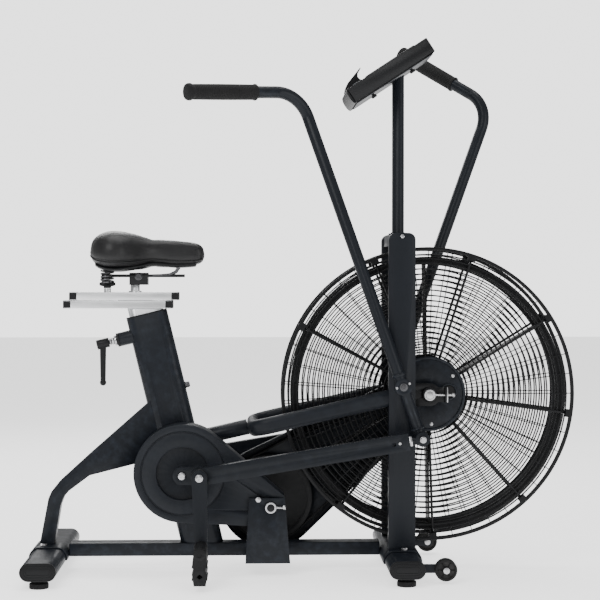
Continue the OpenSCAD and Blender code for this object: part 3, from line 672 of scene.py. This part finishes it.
def seam_line(angle, lift):
    """A line sewn round the saddle at an angle of its section, lifted off the finished cover."""
    line = [saddle_point(row, angle) for row in saddle_rows]
    line += [saddle_point(row, math.pi - angle) for row in reversed(saddle_rows)]
    out = []
    for point in line:
        found, place, normal, _ = cover.closest_point_on_mesh(point)
        out.append(place + normal * lift if found else point)
    return out


def along_line(line, lengths, at):
    """The point of a line at a distance from its start."""
    for k in range(len(line) - 1):
        if lengths[k + 1] >= at:
            share = (at - lengths[k]) / max(lengths[k + 1] - lengths[k], 1e-9)
            return line[k].lerp(line[k + 1], share)
    return line[-1]


Piece().sweep(seam_line(SEAM_ANGLE, 0.0004), 0.0017, 8, closed=True).done(
    "saddle_welt", "carriage", "saddle_leather", "saddle_leather")
stitches = Piece()
stitch_line = seam_line(STITCH_ANGLE, 0.0005)
travel = [0.0]
for a, b in zip(stitch_line, stitch_line[1:]):
    travel.append(travel[-1] + (b - a).length)
STITCH, STITCH_GAP = 0.0042, 0.0018
for k in range(int(travel[-1] / (STITCH + STITCH_GAP))):
    start = k * (STITCH + STITCH_GAP)
    ends = [along_line(stitch_line, travel, start + STITCH * s) for s in (0, 0.25, 0.75, 1)]
    stitches.sweep(ends, [0.0003, 0.0007, 0.0007, 0.0003], 6)
stitches.done("saddle_stitches", "carriage", "black_rubber", "saddle_leather")

# Moulded shell under the cover.
shell_rows = [(x, half * 0.72, low - 2, low + 12, 0) for x, half, low, high, _ in saddle_rows[5:-4]]
saddle_loft(shell_rows, 0.0, 32).done("saddle_shell", "carriage", "black_plastic", "black_plastic")

# Coil springs and rail ends under the saddle.
under = Piece()
RAIL_Y, RAIL_Z = 0.020, 0.681
TURNS, COIL_X, COIL_Y, COIL_R, COIL_LOW, COIL_HIGH = 3.5, -0.450, 0.036, 0.011, 0.6675, 0.6925
COIL_STEPS = 84
for side in SIDES.values():
    coil = []
    for k in range(COIL_STEPS + 1):
        angle = 2 * math.pi * TURNS * k / COIL_STEPS
        coil.append((COIL_X + COIL_R * math.cos(angle), side * COIL_Y + COIL_R * math.sin(angle),
                     COIL_LOW + (COIL_HIGH - COIL_LOW) * k / COIL_STEPS))
    under.sweep(coil, 0.0021, 8)
    under.sweep([(-0.285, side * 0.016, 0.7000), (-0.292, side * 0.018, 0.6900),
                 (-0.305, side * RAIL_Y, 0.6835), (-0.325, side * RAIL_Y, 0.6815),
                 (-0.345, side * RAIL_Y, RAIL_Z)], 0.0036, 12)
    under.sweep([(-0.4400, side * RAIL_Y, RAIL_Z), (-0.4560, side * RAIL_Y, 0.6790),
                 (-0.4610, side * 0.026, 0.6720), (-0.4560, side * 0.036, 0.6680),
                 (-0.4420, side * 0.044, 0.6675)], 0.0034, 12)
under.done("saddle_springs", "carriage", "dark_steel", "bolt_steel", bevel=0.0003)

bolts("clamp_bolts", "carriage", "dark_steel", [
    ((PILLAR_X + 0.009, side * 0.0222, 0.6795), (0, side, 0), 0.0075, 0.0070) for side in SIDES.values()])

# T-handle that locks the upper slide.
knob = Piece()
KNOB_X = PILLAR_X - 0.064
knob.lathe((KNOB_X, 0, UPPER_TOP + 0.0095), (0, 0, 1), [
    (0, 0), (0.0075, 0), (0.0090, 0.0015), (0.0090, 0.0075), (0.0070, 0.0100), (0.0062, 0.0115),
    (0, 0.0115)], 28)
knob.sweep([(KNOB_X - 0.0185 + 0.0037 * k, 0, UPPER_TOP + 0.0190) for k in range(11)],
           [0.0030, 0.0046, 0.0053, 0.0056, 0.0058, 0.0060, 0.0058, 0.0056, 0.0053, 0.0046, 0.0030], 16)
knob.done("slide_knob", "carriage", "black_plastic", "black_plastic", bevel=0.0004, angle=50)

# Black sleeves on the ends of both slides.
SLEEVE = 0.0145
SLEEVE_PROFILE = [
    (-SLEEVE, 0.0001), (-SLEEVE, 0.0004), (0.0010, 0.0004), (0.0026, -0.0006), (0.0030, -0.0030)]
SLIDE_HALF_W = 0.020
SLEEVE_SIDES = 32
CORNER_SQUARENESS = 1.3
for label, body in (("lower", "post"), ("upper", "carriage")):
    slide_low, slide_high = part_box("slider_" + label)
    cap_low, cap_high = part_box("slider_" + label + "_caps")
    z = (cap_low.z + cap_high.z) / 2
    half_h = (cap_high.z - cap_low.z) / 2
    sleeves = Piece()
    for x, way in ((slide_low.x, -1), (slide_high.x, 1)):
        rings = []
        for along_x, grow in SLEEVE_PROFILE:
            ring = []
            for k in range(SLEEVE_SIDES):
                a = 2 * math.pi * (k + 0.5) / SLEEVE_SIDES
                ring.append(sleeves.bm.verts.new((
                    x + way * along_x,
                    (SLIDE_HALF_W + grow * 2) * max(-1, min(1, math.cos(a) * CORNER_SQUARENESS)),
                    z + (half_h + grow) * max(-1, min(1, math.sin(a) * CORNER_SQUARENESS)))))
            rings.append(ring)
        sleeves.bridge(rings)
        sleeves.bm.faces.new(rings[-1])
    sleeves.done("slide_sleeves_" + label, body, "black_plastic", "black_plastic", bevel=0.0004)

# ---------- Fan cage ----------

WIRE, SPOKE, FINE_WIRE = 0.0018, 0.0030, 0.0011
RING_STEP = 0.0123
RING_FIRST = 0.0905
RING_COUNT = 17
RING_RADII = [RING_FIRST + RING_STEP * k for k in range(RING_COUNT)] + [0.3010, 0.3105, 0.3200]
SPOKE_REACH = [0.080, 0.140, 0.200, 0.260, 0.300, CAGE_RADIUS - 0.0075]
SPOKES = 9
FINE_PER_SPOKE = 5
FIRST_SPOKE = math.radians(-8)


def dish(radius):
    """How far out the grille's wires lie at a radius: the cage bows out a little towards its hub."""
    share = (radius - RING_FIRST) / (CAGE_RADIUS - RING_FIRST)
    return 0.0505 - 0.0045 * share * share


for label, side in SIDES.items():
    wires = Piece()
    for radius in RING_RADII:
        wires.hoop((FAN.x, side * dish(radius), FAN.z), (0, 1, 0), radius, WIRE, 96, 6)
    for k in range(SPOKES * FINE_PER_SPOKE):
        heavy = k % FINE_PER_SPOKE == 0
        angle = FIRST_SPOKE + 2 * math.pi * k / (SPOKES * FINE_PER_SPOKE)
        gauge, drop, sides = (SPOKE, 0, 8) if heavy else (FINE_WIRE, 0.0020, 6)
        wires.sweep([(FAN.x + r * math.cos(angle), side * (dish(r) - drop), FAN.z + r * math.sin(angle))
                     for r in SPOKE_REACH], gauge, sides)
    mesh = wires.done("grille_wires_" + label, "frame", "cage_paint", "cage_paint")
    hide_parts("grille_" + label)

# Clips that hold the spokes' ends to the rim.
clips = Piece()
CLIP = [(-0.006, -0.009), (0.0075, -0.009), (0.0095, -0.006), (0.0095, 0.006), (0.0075, 0.009),
        (-0.006, 0.009)]
CLIP_Y, CLIP_HALF_T = 0.0500, 0.0045
for k in range(SPOKES):
    angle = FIRST_SPOKE + 2 * math.pi * k / SPOKES
    out = Vector((math.cos(angle), 0, math.sin(angle)))
    turn = Matrix.Translation(Vector((FAN.x, 0, FAN.z)) + out * (CAGE_RADIUS - 0.0105)) @ Matrix(
        ((out.x, -out.z, 0, 0), (0, 0, -1, 0), (out.z, out.x, 0, 0), (0, 0, 0, 1)))
    for side in SIDES.values():
        y = side * CLIP_Y
        clips.plate(turn, CLIP, y - CLIP_HALF_T, y + CLIP_HALF_T)
        clips.lathe(turn @ Vector((0.0015, 0, y + side * 0.0043)), (0, side, 0),
                    bolt_profile(0.0030, 0.0020), 16)
clips.done("cage_clips", "frame", "cage_paint", "cage_paint", bevel=0.0007)

# Pressed ring round the hub plate, and a ring round a recess beside the axle; the recess itself is a flat matt
# black disc, painted shade standing in for its depth.
PLATE_FACE = 0.0551
hub = Piece()
recess_shade = Piece()
for side in SIDES.values():
    recess_at = (FAN.x + 0.047, side * PLATE_FACE, FAN.z + 0.005)
    hub.lathe((FAN.x, side * PLATE_FACE, FAN.z), (0, side, 0), [
        (0.0790, 0), (0.0855, 0), (0.0858, 0.0010), (0.0845, 0.0022), (0.0810, 0.0026), (0.0795, 0.0018),
        (0.0790, 0)], 72)
    hub.lathe(recess_at, (0, side, 0), [
        (0.0150, 0), (0.0185, 0), (0.0190, 0.0014), (0.0182, 0.0030), (0.0165, 0.0034), (0.0152, 0.0022),
        (0.0150, 0)], 48)
    # Painted shade: a thin dark disc fills the ring where the recess's shadowed inside would be.
    recess_shade.lathe(recess_at, (0, side, 0), [
        (0, 0), (0.0150, 0), (0.0150, 0.0006), (0.0120, 0.0004), (0, 0.0004)], 40)
hub.done("hub_rings", "frame", "frame_paint", "frame_paint")
recess_shade.done("hub_recess_painted_shade", "frame", "black_rubber", "black_plastic")

nut_covers = Piece()
for side in SIDES.values():
    nut_covers.lathe((FAN.x, side * 0.0841, FAN.z), (0, side, 0), [
        (0.0159, 0), (0.0172, 0), (0.0174, 0.0010), (0.0168, 0.0052), (0.0150, 0.0064), (0.0087, 0.0066),
        (0.0087, 0.0060), (0.0145, 0.0058), (0.0159, 0.0044), (0.0159, 0)], 40)
nut_covers.done("axle_nut_covers", "frame", "black_plastic", "black_plastic")

tension = Piece()
OVAL = [(0.0175 * math.cos(a), 0.0052 * math.sin(a)) for a in (math.radians(15 * n) for n in range(24))]
for side in SIDES.values():
    tab = Vector((FAN.x + 0.0382, side * 0.0925, FAN.z))
    tension.plate(Matrix.Translation(tab) @ Matrix.Rotation(math.radians(90), 4, "Y"), OVAL, 0, 0.0026)
tension.done("tension_washers", "frame", "bolt_steel", "bolt_steel", bevel=0.0003)

HUB_SCREW_R = 0.070
bolts("hub_screws", "frame", "bolt_steel", [
    ((FAN.x + HUB_SCREW_R * math.cos(a), side * PLATE_FACE, FAN.z + HUB_SCREW_R * math.sin(a)),
     (0, side, 0), 0.0034, 0.0036)
    for side in SIDES.values() for a in (math.radians(36), math.radians(156), math.radians(276))])

# ---------- Cranks, rods and levers ----------

bolts("crank_bolts", "crank", "bolt_steel", [
    ((CRANK.x, side * 0.1481, CRANK.z), (0, side, 0), 0.0068, 0.0018) for side in SIDES.values()
] + [
    ((CRANK.x - side * PIN_OFFSET, side * ARM_FACE, CRANK.z), (0, side, 0), 0.0072, 0.0060)
    for side in SIDES.values()
])

CRANK_TO_FOOT = Vector((
    UPRIGHT.x + LEVER_DROP * math.sin(SWING) - CRANK.x - PIN_OFFSET, 0,
    PIVOT_Z - LEVER_DROP * math.cos(SWING) - CRANK.z))
ROD_LENGTH = CRANK_TO_FOOT.length
ROD_ALONG = CRANK_TO_FOOT.normalized()
ROD_Y = 0.161
for label, side in SIDES.items():
    out = (0, side, 0)
    pin = Vector((CRANK.x - side * PIN_OFFSET, 0, CRANK.z))
    eye = pin + ROD_ALONG * ROD_LENGTH
    fittings = Piece()
    neck = pin + ROD_ALONG * (ROD_LENGTH - 0.031) + Vector((0, side * ROD_Y, 0))
    hex_nut(fittings, neck + ROD_ALONG * 0.0006, ROD_ALONG, 0.0215, 0.0068)
    fittings.lathe(eye + Vector((0, side * 0.1771, 0)), out, washer_profile(0.0075, 0.0014, 0.004), 28)
    hex_nut(fittings, eye + Vector((0, side * 0.1785, 0)), out, 0.0120, 0.0060)
    thread(fittings, eye + Vector((0, side * 0.1790, 0)), out, 0.0040, 0.0075, 0.0012)
    screw = pin + ROD_ALONG * (ROD_LENGTH - 0.052) + Vector((0, side * ROD_FACE, 0))
    fittings.lathe(screw, out, bolt_profile(0.0034, 0.0024), 20)
    fittings.done("rod_fittings_" + label, "rod_" + label, "bolt_steel", "bolt_steel", bevel=0.0003, angle=40)
    bush = Piece()
    bush.lathe(pin + Vector((0, side * (ROD_FACE + 0.0001), 0)), out, [
        (0.0095, 0), (0.0180, 0), (0.0184, 0.0008), (0.0176, 0.0018), (0.0100, 0.0022), (0.0095, 0)], 40)
    bush.done("rod_bush_" + label, "rod_" + label, "black_plastic", "black_plastic")

    pivot = Vector((UPRIGHT.x, 0, PIVOT_Z))
    up = Vector((math.sin(side * SWING), 0, math.cos(SWING)))
    forward = Vector((up.z, 0, -up.x))
    bolts("pivot_cap_" + label, "frame", "dark_steel", [
        (pivot + Vector((0, side * 0.1481, 0)), out, 0.0056, 0.0052)], washer=1.6)
    hub_screw = pivot + up * 0.0035 + Vector((0, side * HUB_FACE, 0))
    bolts("lever_screws_" + label, "bar_" + label, "bolt_steel", [
        (hub_screw + forward * (0.0150 * d), out, 0.0026, 0.0030) for d in (-1, 1)], washer=1.15)
    lever_foot = pivot - up * LEVER_DROP
    collar = Piece()
    collar.lathe(lever_foot + Vector((0, side * (LEVER_Y + 0.0146), 0)), out, [
        (0.0050, 0), (0.0125, 0), (0.0130, 0.0006), (0.0122, 0.0016), (0.0055, 0.0018), (0.0050, 0)], 32)
    collar.lathe(pivot + up * 0.0290 + Vector((0, side * LEVER_Y, 0)), up, [
        (0.0136, -0.004), (0.0150, -0.003), (0.0156, 0), (0.0150, 0.003), (0.0136, 0.004),
        (0.0136, -0.004)], 40)
    collar.lathe(lever_foot + up * 0.0230 + Vector((0, side * LEVER_Y, 0)), up, [
        (0.0136, -0.003), (0.0147, -0.002), (0.0150, 0), (0.0147, 0.002), (0.0136, 0.003),
        (0.0136, -0.003)], 40)
    collar.done("lever_welds_" + label, "bar_" + label, "bar_paint", "frame_paint")


def long_axis(node):
    """The two ends of a straight round node's centre line, the rear end first."""
    points = [v.co for v in nodes[node].data.vertices]
    centre = sum(points, Vector()) / len(points)
    direction = Vector((1, 0.1, 0.1))
    for _ in range(60):
        direction = sum(((p - centre) * (p - centre).dot(direction) for p in points), Vector()).normalized()
    if direction.x > 0:
        direction = -direction
    reach = [(p - centre).dot(direction) for p in points]
    ends = []
    for target in (max(reach), min(reach)):
        near = [p for p, r in zip(points, reach) if abs(r - target) < 0.0006]
        ends.append(sum(near, Vector()) / len(near))
    return ends


RIB = 0.0042
GRIP_ROOT = [(0.0137, 0.0002), (0.0172, 0.0), (0.0182, 0.0010), (0.0185, 0.0024), (0.0181, 0.0040),
             (0.0170, 0.0050)]
for label in SIDES:
    tip, root_end = long_axis("grip_" + label)
    along = (tip - root_end).normalized()
    length = (tip - root_end).length
    grip = Piece()
    profile = list(GRIP_ROOT)
    ribs = int((length - 0.022) / RIB)
    for k in range(ribs):
        start = 0.0056 + k * RIB
        swell = 0.0004 * math.sin(math.pi * k / ribs)
        profile += [(radius + swell, start + RIB * share) for radius, share in (
            (0.0170, 0), (0.0168, 0.68), (0.0163, 0.78), (0.0163, 0.92))]
    head = length - 0.0135
    profile += [(0.0176, head), (0.0187, head + 0.0018), (0.0189, head + 0.0045), (0.0186, head + 0.0080),
                (0.0170, head + 0.0112), (0.0135, head + 0.0128), (0.0080, head + 0.0134), (0, head + 0.0135)]
    grip.lathe(root_end, along, profile, 48)
    mesh = grip.done("grip_sleeve_" + label, "bar_" + label, "grip_foam", "black_rubber")
    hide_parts("grip_" + label)

# ---------- Pedals ----------

STUD = [(0, 0.0), (0.0028, 0.0), (0.0026, 0.0022), (0.0014, 0.0034), (0, 0.0036)]
for label, side in SIDES.items():
    low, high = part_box("pedal_" + label)
    centre = Vector(((low.x + high.x) / 2, 0, high.z - 0.014))
    tread = Piece()
    for k in range(7):
        y = side * (0.2000 + 0.0130 * k)
        for edge in (-1, 1):
            for z in (-0.055, -0.028):
                tread.lathe((centre.x + edge * 0.0135, y, centre.z + z), (edge, 0, 0.15), STUD, 10)
    tread.lathe((centre.x, side * 0.2861, centre.z), (0, side, 0), [
        (0, -0.0005), (0.0118, -0.0005), (0.0124, 0.0003), (0.0124, 0.0012), (0.0100, 0.0022),
        (0.0060, 0.0024), (0.0055, 0.0012), (0, 0.0012)], 32)
    tread.lathe((centre.x, side * 0.1935, centre.z), (0, side, 0), [
        (0.0066, 0), (0.0148, 0), (0.0152, 0.0012), (0.0148, 0.0030), (0.0066, 0.0032), (0.0066, 0)], 32)
    tread.done("pedal_tread_" + label, "pedal_" + label, "pedal_plastic", "black_plastic", bevel=0.0003)

# ---------- Transport wheels ----------

for label, side in SIDES.items():
    hub_point = middle("transport_wheel_" + label)
    rim = Piece()
    for k in range(5):
        y = hub_point.y + side * (-0.0088 + 0.0044 * k)
        rim.hoop((hub_point.x, y, hub_point.z), (0, 1, 0), 0.02375, 0.0011, 64, 8)
    for k in range(6):
        angle = math.radians(60 * k)
        spoke = Vector((math.cos(angle), 0, math.sin(angle)))
        point = hub_point + Vector((0, side * 0.0082, 0)) + 0.0140 * spoke
        rim.sweep([point - spoke * 0.0050, point, point + spoke * 0.0046], 0.0016, 8)
    rim.done("wheel_ribs_" + label, "wheel_" + label, "wheel_tread", "wheel_tread")

# ---------- Frame details ----------

bolts("mast_stop", "frame", "dark_steel", [
    (MAST @ Vector((0.0481, 0, 0.188)), MAST.to_3x3() @ Vector((1, 0, 0)), 0.0068, 0.0105)])
lock = Piece()
boss = MAST @ Vector((-0.0742, 0, 0.326))
back = MAST.to_3x3() @ Vector((-1, 0, 0))
lock.lathe(boss + back * 0.0066, back, [
    (0.0056, 0), (0.0105, 0), (0.0118, 0.0008), (0.0118, 0.0042), (0.0098, 0.0056), (0.0056, 0.0058),
    (0.0056, 0)], 36)
hex_nut(lock, boss + back * 0.0126, back, 0.0150, 0.0060)
lock.hoop(boss + back * 0.0218, back, 0.0064, 0.0016, 40, 10)
lock.done("lock_fittings", "lock", "bolt_steel", "bolt_steel", bevel=0.0003, angle=40)


# A rippled weld round the console mast's foot.
welds = Piece()
WELD_STEPS, WELD_R, RIPPLES = 160, 0.0148, 40
u, v = across((0, 0, 1))
weld_at = Vector((UPRIGHT.x, 0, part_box("upright_bridge")[1].z + 0.0052))
angles = [2 * math.pi * k / WELD_STEPS for k in range(WELD_STEPS)]
welds.sweep([weld_at + WELD_R * (math.cos(a) * u + math.sin(a) * v) for a in angles],
            [0.0021 + 0.0005 * math.sin(a * RIPPLES) for a in angles], 8, closed=True)
welds.done("welds", "frame", "frame_paint", "frame_paint")

caps = Piece()
CAP_HALF = 0.020
for label in ("rear_stabilizer", "front_stabilizer"):
    low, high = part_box(label)
    for side in SIDES.values():
        y = side * (high.y + 0.0042)
        x, z = (low.x + high.x) / 2, (low.z + high.z) / 2
        for k in range(3):
            inset = 0.0030 + 0.0052 * k
            outline = []
            for q in range(48):
                a = 2 * math.pi * q / 48
                shift = math.copysign(CAP_HALF, math.cos(a))
                outline.append((x + shift + (CAP_HALF - inset) * math.cos(a), y,
                                z + (CAP_HALF - inset) * math.sin(a)))
            caps.sweep(outline, 0.0008, 6, closed=True)
caps.done("cap_ridges", "frame", "black_plastic", "black_plastic")

feet = Piece()
for x in (middle("rear_stabilizer").x, middle("front_stabilizer").x):
    for side in SIDES.values():
        y = side * 0.218
        for z in (0.0032, 0.0058, 0.0084):
            feet.hoop((x, y, z), (0, 0, 1), 0.0209, 0.0007, 48, 6)
feet.done("foot_ridges", "frame", "black_rubber", "black_rubber")

# ---------- Console ----------

# Hooked rest for a tablet, and the moulding on the console's lower end.
lip = Piece()
LIP = [(-0.0020, 0.0300), (0.0005, 0.0410), (0.0070, 0.0480), (0.0160, 0.0535), (0.0360, 0.0600),
       (0.0600, 0.0680), (0.0590, 0.0655), (0.0470, 0.0590), (0.0430, 0.0530), (0.0440, 0.0460),
       (0.0500, 0.0388), (0.0200, 0.0384), (-0.0006, 0.0380), (-0.0006, 0.0300)]
side_on = CONSOLE @ Matrix.Rotation(math.radians(90), 4, "X")
lip.plate(side_on, LIP, -0.026, 0.026)
lip.done("tablet_lip", "frame", "black_plastic", "black_plastic", bevel=0.0010, angle=28)

trim = Piece()
END = [(-0.0005, 0.0010), (-0.0042, 0.0040), (-0.0062, 0.0110), (-0.0066, 0.0200), (-0.0058, 0.0290),
       (-0.0030, 0.0365), (-0.0005, 0.0385)]
trim.plate(side_on, END, -CONSOLE_W / 2 + 0.004, CONSOLE_W / 2 - 0.004)
trim.done("console_end_trim", "frame", "black_plastic", "black_plastic", bevel=0.0009, angle=50)

screws = Piece()
down = CONSOLE.to_3x3() @ Vector((0, 0, -1))
for x in (0.047, 0.152):
    screws.lathe(CONSOLE @ Vector((x, -0.052, -0.0007)), down, [
        (0, 0), (0.0034, 0), (0.0034, 0.0030), (0.0062, 0.0036), (0.0068, 0.0050), (0.0068, 0.0082),
        (0.0058, 0.0094), (0, 0.0096)], 12)
screws.done("console_thumb_screws", "frame", "black_plastic", "black_plastic", bevel=0.0004, angle=50)


def rounded(width, height, radius, steps=6):
    """The outline of a rectangle with round corners."""
    points = []
    for cx, cy, begin in ((1, 1, 0), (-1, 1, 90), (-1, -1, 180), (1, -1, 270)):
        for k in range(steps + 1):
            a = math.radians(begin + 90 * k / steps)
            points.append((cx * (width / 2 - radius) + radius * math.cos(a),
                           cy * (height / 2 - radius) + radius * math.sin(a)))
    return points


bezel = Piece()
bezel.sweep([CONSOLE @ Vector((0.118 + x, y, CONSOLE_T + 0.0002)) for x, y in rounded(0.130, 0.154, 0.010)],
            0.0026, 10, closed=True)
bezel.sweep([CONSOLE @ Vector((0.030 + x, y, CONSOLE_T + 0.0001)) for x, y in rounded(0.044, 0.126, 0.018)],
            0.0015, 8, closed=True)
bezel.done("console_bezel", "frame", "black_plastic", "black_plastic")
for label, side in SIDES.items():
    ring = Piece()
    ring.lathe(CONSOLE @ Vector((0.030, side * 0.040, CONSOLE_T + 0.0029)), -down, [
        (0, 0), (0.0092, 0), (0.0096, 0.0004), (0.0090, 0.0014), (0.0060, 0.0010), (0.0040, 0.0008),
        (0, 0.0008)], 36)
    ring.done("button_cap_" + label, "button_" + label, "button_rubber", "button_rubber")

# ---------- Stage ----------

FLOOR = 14
corners = [(-FLOOR, -FLOOR, 0), (FLOOR, -FLOOR, 0), (FLOOR, FLOOR, 0), (-FLOOR, FLOOR, 0)]
floor_mesh = bpy.data.meshes.new("floor")
floor_mesh.from_pydata(corners, [], [(0, 1, 2, 3)])
floor = bpy.data.objects.new("floor", floor_mesh)
bpy.context.collection.objects.link(floor)
floor_look = Shader("floor", (0.86, 0.86, 0.86), specular=0.2)
floor_look.set_rough(floor_look.spread(floor_look.noise(3, 4), 0.3, 0.7, 0.75, 0.85))
floor_look.bsdf.inputs["Emission Color"].default_value = (1, 1, 1, 1)
floor_look.bsdf.inputs["Emission Strength"].default_value = 1.35
floor_mesh.materials.append(floor_look.material)
floor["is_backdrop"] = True

world = bpy.data.worlds.new("studio")
bpy.context.scene.world = world
world.use_nodes = True
sky = world.node_tree.nodes["Background"]
sky.inputs["Color"].default_value = (1, 1, 1, 1)
ROOM_LIGHT, BACKDROP = 0.45, 2.5
seen = world.node_tree.nodes.new("ShaderNodeLightPath")
strength = world.node_tree.nodes.new("ShaderNodeMapRange")
strength.inputs["To Min"].default_value = ROOM_LIGHT
strength.inputs["To Max"].default_value = BACKDROP
world.node_tree.links.new(seen.outputs["Is Camera Ray"], strength.inputs["Value"])
world.node_tree.links.new(strength.outputs["Result"], sky.inputs["Strength"])


def softbox(name, place, target, size, power):
    """A rectangular area light that faces its target."""
    light = bpy.data.lights.new(name, "AREA")
    light.shape = "RECTANGLE"
    light.size, light.size_y = size
    light.energy = power
    obj = bpy.data.objects.new(name, light)
    bpy.context.collection.objects.link(obj)
    obj.location = place
    obj.rotation_euler = (Vector(target) - Vector(place)).to_track_quat("-Z", "Y").to_euler()


softbox("key", (-1.6, -2.6, 2.6), (0, 0, 0.5), (1.6, 1.6), 70)
softbox("fill", (2.4, -2.2, 1.5), (0, 0, 0.6), (1.4, 1.8), 35)
softbox("top", (0.0, 0.4, 3.2), (0, 0, 0.4), (2.4, 1.6), 60)
softbox("back", (-0.8, 2.8, 2.2), (0, 0, 0.6), (1.8, 1.2), 40)

low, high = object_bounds()
